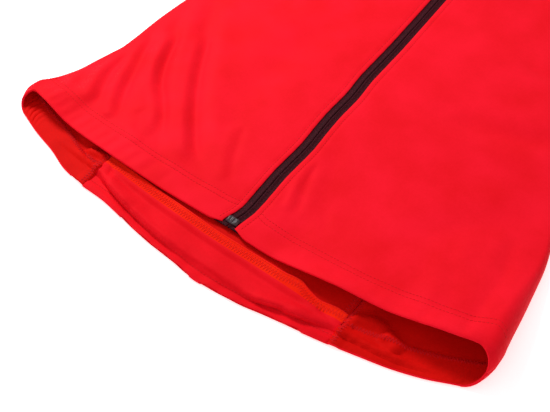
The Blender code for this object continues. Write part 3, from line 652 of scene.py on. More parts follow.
def shell(name, points, up, walls, bulge, looks, loop=False):
    """A closed cloth wall from a grid of outer points, with rounded edges.

    Returns the piece, its inner points and the normals of its outer points.
    """
    rows, columns = points.shape[:2]
    normals = surface_normals(points, up, loop)
    # an open rim bulges outwards, so its border is drawn in by as much and the outline stays
    points = points - outward(points, loop, [max(0, b - SEAM_BULGE) for b in bulge])
    inner = points - normals * np.broadcast_to(walls, points.shape[:2])[..., None]
    count = rows * columns
    outer_faces = quads(rows, columns, 0, loop)
    faces, kinds = [outer_faces, outer_faces[:, ::-1] + count], [0, 1]
    vertices = [points.reshape(-1, 3), inner.reshape(-1, 3)]
    reach = outward(points, loop, bulge).reshape(-1, 3)
    flat_outer, flat_inner = vertices[:2]
    if loop:
        borders = [np.arange(columns), (rows - 1) * columns + np.arange(columns)[::-1]]
    else:
        borders = [border_ids(rows, columns)]
    total = 2 * count
    for ids in borders:
        rings = [ids]
        middle, half = (flat_outer[ids] + flat_inner[ids]) / 2, (flat_outer[ids] - flat_inner[ids]) / 2
        for turn in RIM_TURNS:
            vertices.append(middle + half * math.cos(turn) + reach[ids] * math.sin(turn))
            rings.append(total + np.arange(len(ids)))
            total += len(ids)
        rings.append(ids + count)
        for low, high in zip(rings[:-1], rings[1:]):
            faces.append(np.stack([low, high, np.roll(high, -1), np.roll(low, -1)], axis=-1))
            kinds.append(0)
    # every face turns the same way round as the outer ones, which face away from the inner points
    a, b, c = flat_outer[outer_faces[0, :3]]
    if np.dot(np.cross(b - a, c - a), normals.reshape(-1, 3)[outer_faces[0, 0]]) < 0:
        faces = [f[:, ::-1] for f in faces]
    kinds = np.concatenate([np.full(len(f), kind) for f, kind in zip(faces, kinds)])
    mesh = new_mesh(name, np.concatenate(vertices), np.concatenate(faces), looks, kinds)
    piece = link(f"{name}_cloth", mesh, name)
    return piece, inner, normals


def cut_size(points, loop=False):
    """Width, length and area of a flat cut, in metres, measured on its grid of points."""
    ring = np.concatenate([points, points[:, :1]], axis=1) if loop else points
    across = np.linalg.norm(np.diff(ring, axis=1), axis=2).sum(axis=1).max()
    along = np.linalg.norm(np.diff(ring, axis=0), axis=2).sum(axis=0).max()
    a = np.diff(ring, axis=1)[:-1]
    b = np.diff(ring, axis=0)[:, :-1]
    area = np.linalg.norm(np.cross(a, b), axis=2).sum()
    return across * MM, along * MM, area * MM * MM


def turned_up(distance, turn):
    """1 on the turned-up part of a hem or cuff and 0 above it, with a short step between."""
    return ease(turn + HALF_STEP, turn - HALF_STEP, distance)


def walls_of(turned):
    """One layer of knit, and two where it is turned up."""
    return WALL + (HEM_WALL - WALL) * turned


def declare(points, loop=False):
    """Measures a piece's cut: its width and length laid flat, and its area; it keeps none of them."""
    width, length, area = cut_size(points, loop)
    area = min(area, width * length)


def lines_along(points, normals, distances, axis=0, skip=(0, 0)):
    """Lines that follow an edge of a grid at the given distances, each with its normals.

    axis 0 measures up from the first row, and axis 1 from the first column. skip holds how many
    points are left out at the start and at the end of each line.
    """
    if axis == 1:
        points, normals = points.transpose(1, 0, 2), normals.transpose(1, 0, 2)
    step = np.linalg.norm(np.diff(points, axis=0), axis=2)
    far = np.concatenate([np.zeros((1, points.shape[1])), np.cumsum(step, axis=0)])
    kept = range(skip[0], points.shape[1] - skip[1])
    lines = []
    for distance in distances:
        line, up = (
            np.array([[np.interp(distance, far[:, i], v[:, i, k]) for k in range(3)] for i in kept])
            for v in (points, normals)
        )
        lines.append((line, unit(up)))
    return lines


def walked(line, normals, at):
    """Points and normals of a line at the given distances along it."""
    far = np.concatenate([[0], np.cumsum(np.linalg.norm(np.diff(line, axis=0), axis=1))])
    points = np.stack([np.interp(at, far, line[:, k]) for k in range(3)], axis=1)
    turned = np.stack([np.interp(at, far, normals[:, k]) for k in range(3)], axis=1)
    return points, unit(turned)


def length_of(line):
    return float(np.linalg.norm(np.diff(line, axis=0), axis=1).sum())


SPINDLE_RINGS = ((0.0, 0.0), (0.12, 0.8), (0.5, 1.0), (0.88, 0.8), (1.0, 0.0))
SPINDLE_SIDES = 6


def spindles(starts, ends, normals):
    """Points and faces of slim rounded threads, one from each start to its end."""
    n = SPINDLE_SIDES
    angles = (np.arange(n) * 2 * math.pi / n)[:, None]
    side = unit(np.cross(ends - starts, normals))[:, None]
    rise = unit(np.cross(side[:, 0], ends - starts))[:, None]
    circle = (side * np.cos(angles) + rise * np.sin(angles)) * THREAD
    rings = []
    for share, wide in SPINDLE_RINGS:
        centre = (starts + (ends - starts) * share)[:, None]
        rings.append(centre + circle * wide if wide else centre)
    points = np.concatenate(rings, axis=1)
    size = points.shape[1]
    faces = []
    for i in range(n):
        k = (i + 1) % n
        faces += [(0, 1 + k, 1 + i), (size - 1, 1 + 2 * n + i, 1 + 2 * n + k)]
        faces += [(low + i, low + k, low + n + k, low + n + i) for low in (1, 1 + n)]
    firsts = range(0, len(points) * size, size)
    return points.reshape(-1, 3), [tuple(first + v for v in face) for first in firsts for face in faces]


def stitches(lines, pitch=STITCH_PITCH, long=STITCH_LONG):
    """Starts, ends and normals of a row of stitches along each line."""
    starts, ends, normals = [], [], []
    for line, up in lines:
        at = np.arange(pitch / 2, length_of(line) - long, pitch)
        first, turned = walked(line, up, at)
        last, _ = walked(line, up, at + long)
        lift = turned * THREAD * STITCH_PROUD
        starts.append(first + lift)
        ends.append(last + lift)
        normals.append(turned)
    return np.concatenate(starts), np.concatenate(ends), np.concatenate(normals)


def zigzags(lines, wide, pitch, thick=THREAD):
    """Starts, ends and normals of an overlock's slanting threads across each line."""
    starts, ends, normals = [], [], []
    for line, up in lines:
        at = np.arange(pitch / 2, length_of(line) - pitch, pitch)
        low, turned = walked(line, up, at)
        high, _ = walked(line, up, at + pitch / 2)
        across = unit(np.cross(turned, high - low)) * wide / 2
        lift = turned * thick * LOCK_PROUD
        starts.extend([low - across + lift, high + across + lift])
        ends.extend([high + across + lift, low + 2 * (high - low) - across + lift])
        normals.extend([turned, turned])
    return np.concatenate(starts), np.concatenate(ends), np.concatenate(normals)


def sewing(name, runs, look):
    """One joined piece of threads from several runs of starts, ends and normals."""
    starts, ends, normals = (np.concatenate([run[k] for run in runs]) for k in range(3))
    points, faces = spindles(starts, ends, normals)
    made = link(name, new_mesh(name, points, faces, [look]), None)
    return made


# Small creases that the solids leave out: start x, y; middle x, y; end x, y; depth; width
FINE_FOLDS = [
    (-150, 60, -139, 47, -128, 24, 0.7, 4.5),
    (-118, 62, -110, 44, -104, 26, 0.6, 4.0),
    (-176, 70, -168, 55, -164, 38, 0.6, 4.0),
    (-86, 60, -74, 44, -64, 24, 0.5, 4.5),
    (-66, 96, -50, 70, -38, 50, 0.4, 7.0),
    (26, 120, 34, 92, 44, 70, 0.4, 7.0),
    (12, 70, 17, 54, 24, 40, 0.5, 3.5),
    (50, 60, 60, 46, 66, 34, 0.4, 4.0),
    (150, 84, 160, 64, 166, 44, 0.5, 6.0),
    (186, 120, 190, 96, 196, 74, 0.6, 6.0),
    (-150, 300, -120, 292, -96, 300, 0.8, 6.0),
    (150, 296, 124, 290, 96, 300, 0.8, 6.0),
    (206, 352, 176, 338, 150, 340, 0.8, 6.0),
    (-204, 350, -174, 334, -146, 336, 0.8, 6.0),
    (110, 500, 96, 470, 90, 440, 0.6, 7.0),
    (-112, 506, -98, 470, -92, 444, 0.6, 7.0),
]
# Sharp-sided creases of the front: height; points of the line from the top down
CREASES = [
    (1.9, [(-186, 128), (-180, 111), (-170, 86), (-161, 60), (-148, 38), (-141, 29)]),
    (2.9, [(-172, 146), (-164, 131), (-155, 107), (-148, 94), (-141, 84), (-130, 74), (-114, 57),
           (-95, 30)]),
    (2.3, [(-150, 162), (-139, 144), (-127, 121), (-114, 100), (-98, 77), (-87, 63), (-72, 46),
           (-57, 35)]),
    (2.1, [(-190, 98), (-188, 86), (-184, 67), (-176, 49), (-167, 30)]),
    (1.2, [(-201, 62), (-199, 50), (-195, 41), (-190, 33)]),
    (1.0, [(-134, 54), (-131, 42), (-122, 31), (-103, 24)]),
    (0.9, [(-54, 90), (-48, 74), (-37, 50), (-25, 31)]),
    (1.1, [(18, 92), (22, 74), (28, 55), (36, 38)]),
]
CREST_BACK = 6.0
CREST_WIDE = 5.0
DIP_AHEAD = 2.6
DIP_SHARE = 0.6
CREASE_END = 0.15  # share of a crease's length over which it fades
# Puckers of the turned-up front hem: place across; lean; depth; width
HEM_PUCKERS = [
    (-203, 3, 0.55, 2.6), (-194, 4, 0.45, 2.4), (-186, 2, 0.60, 2.8), (-176, 5, 0.45, 2.4),
    (-168, 3, 0.55, 3.0), (-157, 4, 0.40, 2.6), (-148, 3, 0.50, 2.8), (-137, 5, 0.40, 2.6),
    (-127, 3, 0.45, 3.0), (-114, 4, 0.35, 2.8), (-102, 3, 0.35, 3.0), (-88, 4, 0.30, 3.0),
    (-70, 2, 0.25, 3.2), (62, -2, 0.25, 3.2), (96, -3, 0.25, 3.0), (131, -2, 0.30, 3.2),
    (170, -3, 0.30, 3.4), (198, -2, 0.35, 3.0),
]
PUCKER_LOW = 1.5
PUCKER_HIGH = 20.0
PUCKER_CALM = (-6, 8)
SLACK_HIGH = 0.35
# Waves of cloth that lies loose: share of the height; length across, along; start
SLACK_WAVES = [(1.0, 37, 61, 0.0), (1.0, 53, -43, 1.3), (0.5, 17, 29, 2.1), (0.4, -33, 15, 0.0)]
EDGE_ROUND = 0.5
EDGE_ROUND_WIDE = 1.2
EDGE_CALM = 14.0  # creases fade this close to the side fold and to the zip
HEM_CALM = (4, 40)
COLLAR_CALM = 40.0
DRAWN = (190, 340)  # the fronts are drawn smooth below the first height and loose above the second
LEAST_SLACK = 0.1
RIPPLE_HIGH = 0.16  # of the ripple that the zip's sewing draws into the cloth
RIPPLE_LONG = 1.9
RIPPLE_AWAY = 3.0
RIPPLE_REACH = 4.0
RIPPLE_SWAY = (2.0, 23.0)
RIPPLE_FROM = (8, 40)
ZIP_SEWN_FROM = (0, 12)
ZIP_PLAIN = (4, 10)  # from the band that shows: no turned-up hem nearer, a full one farther
SWELL_LEAST = 0.2  # share of a swell's height at its ends


def creased(x, y):
    """How far the sharp-sided creases lower the front: a crest on the -X side and a dip on the other."""
    total = np.zeros(np.shape(x))
    for high, line in CREASES:
        far, side, along = nearest(x, y, np.array(line, float))
        away = far * side
        crest = np.exp(-(((away + CREST_BACK) / CREST_WIDE) ** 2))
        dip = DIP_SHARE * np.exp(-(((away - DIP_AHEAD) / DIP_AHEAD) ** 2))
        total = total + high * (dip - crest) * faded(along, CREASE_END)
    return total


def swells(x, y, rows):
    """How high soft ridges stand: each row holds a bowed line, its height and its width."""
    total = np.zeros(np.shape(x))
    for row in rows:
        away, along = near_curve(x, y, row)
        full = SWELL_LEAST + (1 - SWELL_LEAST) * faded(along, FOLD_END)
        total = total + row[6] * np.exp(-((away / row[7]) ** 2)) * full
    return total


def pucker_folds():
    folds = []
    for x, lean, depth, wide in HEM_PUCKERS:
        low = float(front_hem(x))
        middle = (x + lean / 2, low + (PUCKER_LOW + PUCKER_HIGH) / 2)
        folds.append((x, low + PUCKER_LOW, *middle, x + lean, low + PUCKER_HIGH, depth, wide))
    return folds


def dips(distance, lines):
    """How far rows of stitches at the given distances draw the cloth down."""
    return sum(STITCH_DIP * np.exp(-(((distance - line) / STITCH_DIP_WIDE) ** 2)) for line in lines)


def slack(x, y):
    """Slight unevenness of cloth that lies loose."""
    return SLACK_HIGH * sum(high * np.sin(x / a + y / b + start) for high, a, b, start in SLACK_WAVES)


def front_detail(x, y):
    """How far fine creases and sewing lower the front."""
    edge = np.where(y > ARMPIT[1], SHOULDER_TIP[0] - FLAT_RADIUS, fold_edge(x, y))
    from_fold, from_hem = edge - np.abs(x), y - front_hem(x)
    from_zip = np.abs(x - zip_line(y)) - HALF_AT(y)
    calm = ease(0, EDGE_CALM, from_fold) * ease(0, EDGE_CALM, from_zip)
    creases = (sink(x, y, FINE_FOLDS) + creased(x, y)) * calm
    creases = creases + sink(x, y, pucker_folds()) * ease(*PUCKER_CALM, from_fold)
    loose = LEAST_SLACK + (1 - LEAST_SLACK) * ease(*DRAWN, y)
    loose = loose * calm * ease(*HEM_CALM, from_hem) * ease(0, COLLAR_CALM, COLLAR_TOP - y)
    sewn = dips(from_hem, HEM_STITCH) + dips(from_zip, (ZIP_STITCH,)) * ease(*ZIP_SEWN_FROM, y)
    ripple = RIPPLE_HIGH * wavy(y, RIPPLE_LONG, *RIPPLE_SWAY) * ease(*RIPPLE_FROM, y)
    ripple = ripple * np.exp(-(((from_zip - RIPPLE_AWAY) / RIPPLE_REACH) ** 2))
    rolled = np.exp(-((from_hem / EDGE_ROUND_WIDE) ** 2)) + np.exp(-((from_zip / EDGE_ROUND_WIDE) ** 2))
    return creases + slack(x, y) * loose + sewn + ripple + EDGE_ROUND * rolled


def front_points(side, columns):
    """The outer points of one front, and how much of each is turned-up hem."""
    outer, inner = side_rows(side)
    inner = lifted_rows(inner, front_hem(inner[0, 0]))
    arm = np.array(ARMHOLE[1:]) - (SEAM / 2, 0)
    outer = mirrored(np.concatenate([outer, arm]), side)
    inner = mirrored(np.concatenate([inner, arm - (FLAT_RADIUS, 0)]), side)
    tip = inner[-1].copy()
    outer_tip = outer[-1].copy()
    inner[-1, 1] -= FLAT_RADIUS
    outer[-1, 1] -= FLAT_RADIUS
    low = float(front_hem(ZIP_AT(0) + side * ZIP_OPEN))
    zip_y = low + fractions(outer) * (NECKLINE[0][1] - FLAT_RADIUS - low)
    zip_edge = np.stack([zip_line(zip_y) + side * HALF_AT(zip_y), zip_y], axis=1)
    hem_x = np.linspace(zip_edge[0, 0], inner[0, 0], columns)
    bottom = np.stack([hem_x, front_hem(hem_x)], axis=1)
    neck = mirrored(NECKLINE, side)
    shoulder = np.linspace(neck[-1], tip, columns - len(neck) + 1)[1:]
    edge = np.concatenate([neck, shoulder])
    top = edge - polyline_normals(edge) * side * FLAT_RADIUS
    bottom[-1], top[0], top[-1] = inner[0], zip_edge[-1], inner[-1]
    flat = patch(bottom, top, zip_edge, inner)
    rows_at = marks(outer, steps_up(outer))
    steps = np.full(columns - 1, NEAR_STEP)
    steps[0] = HEM_STEP
    columns_at = marks(bottom, steps)
    fine, fold = dense_both(flat, rows_at, columns_at), dense(outer, rows_at)
    fine[:, 0, 0] = zip_line(fine[:, 0, 1]) + side * HALF_AT(fine[:, 0, 1])
    flat_columns = fine.shape[1]
    grid = with_bend(fine, fold, TURNS)
    corner = with_bend(edge[None, -1:], outer_tip[None], TURNS)[0, 1:]
    grid = rolled_over(grid, np.concatenate([dense(edge, columns_at), corner]))
    x, y = grid[..., 0], grid[..., 1]
    heights = front_height(x, y) - front_detail(x, y)
    armpit = len(SIDE_STATIONS) - 1
    bent = RADIUS_AT[side](y[: len(rows_at), -1])[:, None] * (2 - TURN_FALL)
    above = ease(armpit, armpit + 1, rows_at)[:, None]
    level = heights[: len(rows_at), flat_columns - 1 : flat_columns]
    heights[: len(rows_at), flat_columns:] = bent * (1 - above) + level * above
    heights[: len(rows_at), -1] += SEAM / 2 * (1 - above[:, 0])
    neck_end = len(neck) - 1
    over = FLAT_RADIUS * ease(neck_end - 0.5, neck_end, np.concatenate([columns_at, columns + TURN_FALL]))
    for row, share in zip(heights[-len(TURNS) :], TURN_FALL):
        row[:] = np.where(over > 0, BODY_HIGH - over * share, row)
    heights[-1] += SEAM / 2 * over / FLAT_RADIUS
    from_hem = y - y[0]
    beside_zip = np.abs(x - zip_line(y)) - HALF_AT(y)
    turned = turned_up(from_hem, HEM_TURN) * ease(*ZIP_PLAIN, beside_zip)
    return in_space(grid, heights), turned


def fine_front(side, columns, looks, thread):
    name = f"front_{SIDES[side]}"
    points, turned = front_points(side, columns)
    bulge = (HEM_WALL / 2, SEAM_BULGE, WALL / 2, SEAM_BULGE)
    piece, inner, normals = shell(name, points, True, walls_of(turned), bulge, looks)
    hems = lines_along(points, normals, HEM_STITCH, skip=(3, 4))
    beside = lines_along(points, normals, [ZIP_STITCH], 1, (2, len(TURNS)))
    inside = lines_along(inner, -normals, [HEM_LOCK], skip=(3, 4))
    runs = [stitches(hems), stitches(beside), zigzags(inside, *FRONT_ZIGZAG, FINE_THREAD)]
    sewn = sewing(f"{name}_stitches", runs, thread)
    declare(points)


# Ridges of the side panels' loose cloth: start x, y; middle x, y; end x, y; height; width
SIDE_SWELLS = [
    (119, -19, 135, -6, 152, -9, 4.6, 4.6),
    (148, -8, 157, -12, 166, -18, 5.2, 6.0),
    (124, 0, 128, 10, 130, 24, 2.4, 3.5),
    (-142, -7, -134, -4, -122, -3, 4.2, 3.2),
    (-158, 2, -146, 8, -132, 12, 2.2, 5.0),
]
SIDE_DIPS = [
    (-168, 5, -146, -6, -124, -22, 1.6, 2.2),
    (-128, -12, -124, -20, -121, -32, 1.2, 2.0),
    (128, -25, 152, -22, 184, -15, 1.2, 2.4),
]
# Gathers on the inner side of the side panels near the folds, and of the back's hem band
SIDE_RIBS = 5.2
RIB_HIGH = 0.5
RIB_STEPS = np.array([1.8, 1.8, 1.1, 0.9])
RIB_STRENGTH = {-1: 1.0, 1: 0.3}
RIB_SWAYS = ((0.9, 7), (0.8, 11))
RIB_UP = (0, 5, 14, 32)
RIB_INWARD = (0, 4, 24, 44)
LOOSE_FROM = (0, 7)
ALLOWANCE_HIGH = 0.9
ALLOWANCE_EDGE = (8.5, 6.5)
GATHER_HIGH = 0.28
GATHER_LONG = 3.1
GATHER_UP = 5.0
GATHER_REACH = 6.0
GATHER_SWAY = (1.5, 19.0)
GATHER_UNEVEN = (0.45, 41.0, 1.0)  # share, length, start


def back_ripple(x, y):
    """Small gathers of the back hem, which its elastic draws in."""
    from_hem = y - back_hem(x)
    near = np.exp(-(((from_hem - GATHER_UP) / GATHER_REACH) ** 2))
    share, long, start = GATHER_UNEVEN
    uneven = 1 - share + share * np.sin(x / long + start)
    return GATHER_HIGH * (1 + wavy(x, GATHER_LONG, *GATHER_SWAY) * uneven) * near


def side_ribs(points, side):
    """Gathers of a side panel's hem, which run round its fold."""
    step = np.linalg.norm(np.diff(points, axis=1), axis=2)
    far = np.concatenate([np.zeros((len(points), 1)), np.cumsum(step[:, ::-1], axis=1)], axis=1)[:, ::-1]
    up = points[..., 1] - points[:1, :, 1]
    sway = sum(share * np.sin(at / long) for at, (share, long) in zip((up, far), RIB_SWAYS))
    ribs = np.sin(far * 2 * math.pi / SIDE_RIBS + sway)
    return RIB_HIGH * (1 + ribs) * RIB_STRENGTH[side] * between(RIB_UP, up) * between(RIB_INWARD, far)


def side_points(side):
    outer, inner = side_rows(side)
    inner = lifted_rows(inner, back_hem(side * inner[0, 0]))
    arm = np.array(ARMHOLE) - (0, SEAM / 2)
    reach = arm[1] - arm[0]
    inner[-1] = arm[0] + reach * FLAT_RADIUS / np.linalg.norm(reach)
    outer[-1] = arm[0]
    hem_y = float(back_hem(side * BACK_SEAM[0][1]))
    seam = seam_rows([hem_y] + SEAM_LOW, SEAM / 2)
    seam[-1] -= (0, SEAM / 2)
    top = np.array([seam[-1], arm[2], (arm[2] + arm[1]) / 2, arm[1], inner[-1]])
    hem_x = np.linspace(seam[0, 0], inner[0, 0], len(top))
    bottom = np.stack([hem_x, back_hem(side * hem_x)], axis=1)
    bottom[0], bottom[-1] = seam[0], inner[0]
    flat = patch(bottom, top, seam, inner)
    rows_at = marks(outer, steps_up(outer))
    columns_at = marks(bottom, RIB_STEPS)
    fine = dense_both(flat, rows_at, columns_at)
    grid = with_bend(fine, dense(outer, rows_at), TURNS) * (side, 1)
    x, y = grid[..., 0], grid[..., 1]
    flat_columns = fine.shape[1]
    loose = swells(x, y, SIDE_SWELLS) * ease(*LOOSE_FROM, y - y[0]) - swells(x, y, SIDE_DIPS)
    heights = roll_height(x, y) + back_ripple(x, y) + loose
    from_seam = np.linalg.norm(grid - grid[:, :1], axis=2)
    raised = ease(0, 1, from_seam) * ease(*ALLOWANCE_EDGE, from_seam)
    heights = np.maximum(heights, 0) + ALLOWANCE_HIGH * raised
    heights[:, flat_columns:] = RADIUS_AT[side](y[:, -1])[:, None] * TURN_FALL
    heights[:, -1] -= SEAM / 2
    turned = turned_up(y - y[0], HEM_TURN)
    points = in_space(grid, heights)
    return points - surface_normals(points, False) * side_ribs(points, side)[..., None], turned


def fine_side(side, looks, thread):
    name = f"side_{SIDES[side]}"
    points, turned = side_points(side)
    bulge = (HEM_WALL / 2, SEAM_BULGE, SEAM_BULGE, SEAM_BULGE)
    piece, inner, normals = shell(name, points, False, walls_of(turned), bulge, looks)
    hems = lines_along(points, normals, HEM_STITCH, skip=(2, 6))
    inside = lines_along(inner, -normals, [HEM_LOCK], skip=(2, 5))
    seam = lines_along(inner, -normals, [SEAM_LOCK], 1)
    locks = [zigzags(inside, *SIDE_ZIGZAG), zigzags(seam, *SEAM_ZIGZAG, FINE_THREAD)]
    sewn = sewing(f"{name}_stitches", [stitches(hems), *locks], thread)
    declare(points)


def back_points():
    half = seam_rows(BACK_LOW, -SEAM / 2)
    half[0, 1] = seam_y(half[0, 0]) + SEAM
    arm = np.array(ARMHOLE[SEAM_MEETS + 1 :]) - (SEAM / 2, 0)
    right = np.concatenate([half, arm])
    left = mirrored(right, -1)
    left[0, 1] = seam_y(left[0, 0]) + SEAM
    tip = right[-1].copy()
    right[-1, 1] -= FLAT_RADIUS
    left[-1, 1] -= FLAT_RADIUS
    neck = np.array(BACK_NECK)
    shoulder = np.linspace(tip, neck[0], SHOULDER_COLUMNS + 1)[:-1]
    edge = np.concatenate([shoulder, neck])
    edge = np.concatenate([mirrored(edge, -1), edge[-2::-1]])
    top = edge + polyline_normals(edge) * -FLAT_RADIUS
    top[0], top[-1] = left[-1], right[-1]
    across = np.linspace(left[0, 0], right[0, 0], len(edge))
    bottom = np.stack([across, seam_y(across) + SEAM], axis=1)
    flat = patch(bottom, top, left, right)
    rows_at = marks(right, steps_up(right))
    columns_at = marks(bottom, NEAR_STEP)
    grid = dense_both(flat, rows_at, columns_at)
    grid = rolled_over(grid, dense(edge, columns_at))
    heights = back_height(grid[..., 1])
    from_end = np.minimum(columns_at, columns_at[-1] - columns_at)
    over = ease(SHOULDER_COLUMNS + 0.5, SHOULDER_COLUMNS, from_end)
    heights[-len(TURNS) :] = TURN_FALL[:, None] * over * FLAT_RADIUS
    heights[-1] -= SEAM / 2 * over
    return in_space(grid, heights)


def fine_back(looks, thread):
    points = back_points()
    bulge = (SEAM_BULGE, SEAM_BULGE, SEAM_BULGE, SEAM_BULGE)
    piece, inner, normals = shell("back", points, False, WALL, bulge, looks)
    seams = lines_along(inner, -normals, [BACK_LOCK], 1)
    seams += lines_along(inner[:, ::-1], -normals[:, ::-1], [BACK_LOCK], 1)
    sewn = sewing("back_stitches", [zigzags(seams, *SEAM_ZIGZAG, FINE_THREAD)], thread)
    declare(points)


# Soft creases of the roll above the back hem: start x, y; middle x, y; end x, y; depth; width
ROLL_FOLDS = [
    (-112, -6, -108, -16, -100, -26, 1.6, 2.4),
    (-70, -20, -52, -27, -36, -36, 0.5, 3.5),
    (30, -46, 60, -43, 82, -31, 3.4, 3.0),
    (70, -42, 98, -34, 124, -26, 3.4, 2.6),
    (96, -20, 106, -22, 117, -24, 1.0, 2.0),
    (-20, -30, 4, -36, 26, -40, 0.5, 3.5),
]
# Where the roll stands fuller than on the solids: start x, y; middle x, y; end x, y; height; width
ROLL_SWELLS = [
    (-112, -15, -94, -23, -68, -30, 3.2, 5.5),
    (-78, -29, -48, -34, -14, -38, 2.2, 5.0),
    (50, -38, 74, -33, 98, -24, 2.6, 4.0),
    (84, -31, 104, -26, 119, -20, 1.4, 3.5),
]
# Place across the tail; how far the edge of its overlocked allowance strays up
BAND_STRAY = [
    (-120, 0), (-60, 0.5), (0, 0), (34, 0.4), (58, 0.6), (75, 3.0), (84, 0.4), (95, -1.6),
    (111, 1.2), (120, 0.5),
]
ROLL_LEAN = 0.5  # how far the roll leans over the hem, as a share of its height
LEAN_ENDS = (118, 100)  # the lean fades out towards the tail's seams
MOST_CREASE = 0.85  # share of the cloth's height that a crease may take
BAND_LIFT = 0.9
BAND_EDGE = 2.2
BAND_UNEVEN = 0.3  # share of the lift that varies along the band
BAND_WAVE = (9.0, 1.4, 31.0)
LEAN_FADE = (-1, -12)  # from the seam
BELOW_LINE = 0.5
ABOVE_SEAM = 2.0
TAIL_TURN = (0.35, 0.2)  # where the turned-up hem ends, as a share of the way to the roll
TAIL_TURN_REACH = 9.0
TAIL_FINE = 1.3  # columns of the tail for each near step
TAIL_ROW = HEM_STEP * 0.75
STRAY_AT = smooth(BAND_STRAY, 1)


def tail_points():
    half = BACK_SEAM[0][1] - SEAM / 2
    x = np.linspace(-half, half, int(2 * half / NEAR_STEP * TAIL_FINE))
    hem, line, seam, top = back_hem(x), ROLL_LINE(x), seam_y(x), ROLL_TOP(x) + STRAY_AT(x)
    rows = [hem, (hem + line) / 2, line - BELOW_LINE]
    rows += [line + (seam - line) * share for share in ROLL_ROWS]
    rows += [seam + ABOVE_SEAM, top]
    coarse = np.stack([np.stack([x, row], axis=1) for row in rows])
    grid = dense(coarse, marks(coarse[:, len(x) // 2], TAIL_ROW))
    x, y = grid[..., 0], grid[..., 1]
    seam = seam_y(x)
    over_back = 2 * (WALL + LAYER) * ease(seam - TAIL_STEP, seam - SEAM, y)
    heights = over_back + roll_height(x, y)
    loose = np.clip(heights / 2, 0, 1)
    heights = heights + swells(x, y, ROLL_SWELLS) * loose
    heights = heights - np.minimum(swells(x, y, ROLL_FOLDS) * loose, heights * MOST_CREASE)
    lean = np.clip(heights - over_back, 0, None) * ROLL_LEAN * ease(*LEAN_ENDS, np.abs(x))
    grid = np.stack([x, y - lean * ease(*LEAN_FADE, y - seam)], axis=2)
    lift = BAND_LIFT * (1 - BAND_UNEVEN + BAND_UNEVEN * wavy(x, *BAND_WAVE))
    edge = ROLL_TOP(x) + STRAY_AT(x)
    heights = heights + lift * np.exp(-(((edge - y) / BAND_EDGE) ** 2)) + back_ripple(x, y)
    to_roll = (y - back_hem(x)) / (ROLL_LINE(x) - back_hem(x) + TAIL_TURN_REACH)
    return in_space(grid, heights), ease(*TAIL_TURN, to_roll), y > seam_y(x)


def fine_tail(looks, thread, overlock):
    points, turned, band = tail_points()
    bulge = (HEM_WALL / 2, BAND_BULGE, SEAM_BULGE, SEAM_BULGE)
    piece, inner, normals = shell("tail", points, False, walls_of(turned), bulge, looks)
    on_band = band[:-1, :-1] & band[1:, 1:]
    kinds = np.zeros(len(piece.data.polygons), np.int32)
    piece.data.polygons.foreach_get("material_index", kinds)
    inner_faces = slice(on_band.size, 2 * on_band.size)
    kinds[inner_faces] = np.where(on_band.ravel(), 2, kinds[inner_faces])
    piece.data.polygons.foreach_set("material_index", kinds)
    flipped = inner[::-1], -normals[::-1]
    runs = [zigzags(lines_along(*flipped, [TAIL_LOCK]), *TAIL_ZIGZAG)]
    runs.append(stitches(lines_along(*flipped, [TAIL_CHAIN]), *TAIL_CHAIN_STITCH))
    locked = sewing("tail_overlock", runs, overlock)
    hem = lines_along(inner, -normals, [TAIL_STITCH])
    sewn = sewing("tail_stitches", [stitches(hem)], thread)
    declare(points)


POCKET_DIVIDERS = (-41.5, -38.5, 38.5, 41.5)


def fine_pocket(looks, thread):
    half = BACK_SEAM[0][1] - SEAM / 2
    x = np.linspace(-half, half, int(2 * half / NEAR_STEP))
    low = seam_y(x) + SEAM
    shares = np.linspace(0, 1, int(POCKET_TOP / NEAR_STEP))
    grid = np.stack([np.stack([x, low + (POCKET_TOP - low) * share], axis=1) for share in shares])
    points = in_space(grid, np.zeros(grid.shape[:2]))
    bulge = (SEAM_BULGE, WALL / 2, SEAM_BULGE, SEAM_BULGE)
    piece, _, normals = shell("pocket", points, False, WALL, bulge, looks)
    dividers = [int(np.argmin(np.abs(x - place))) for place in POCKET_DIVIDERS]
    lines = [(points[:, column], normals[:, column]) for column in dividers]
    lines += lines_along(points[::-1], normals[::-1], POCKET_STITCH)
    sewn = sewing("pocket_stitches", [stitches(lines)], thread)
    declare(points)


CUFF_TAPER = 0.6  # share of the sleeve's length over which its fold narrows
SHOULDER_FADE = 0.3  # share of it over which the front's folds fade out
SLEEVE_SLACK = 0.5
SLACK_FADE = 0.2
CUFF_CALM = 30


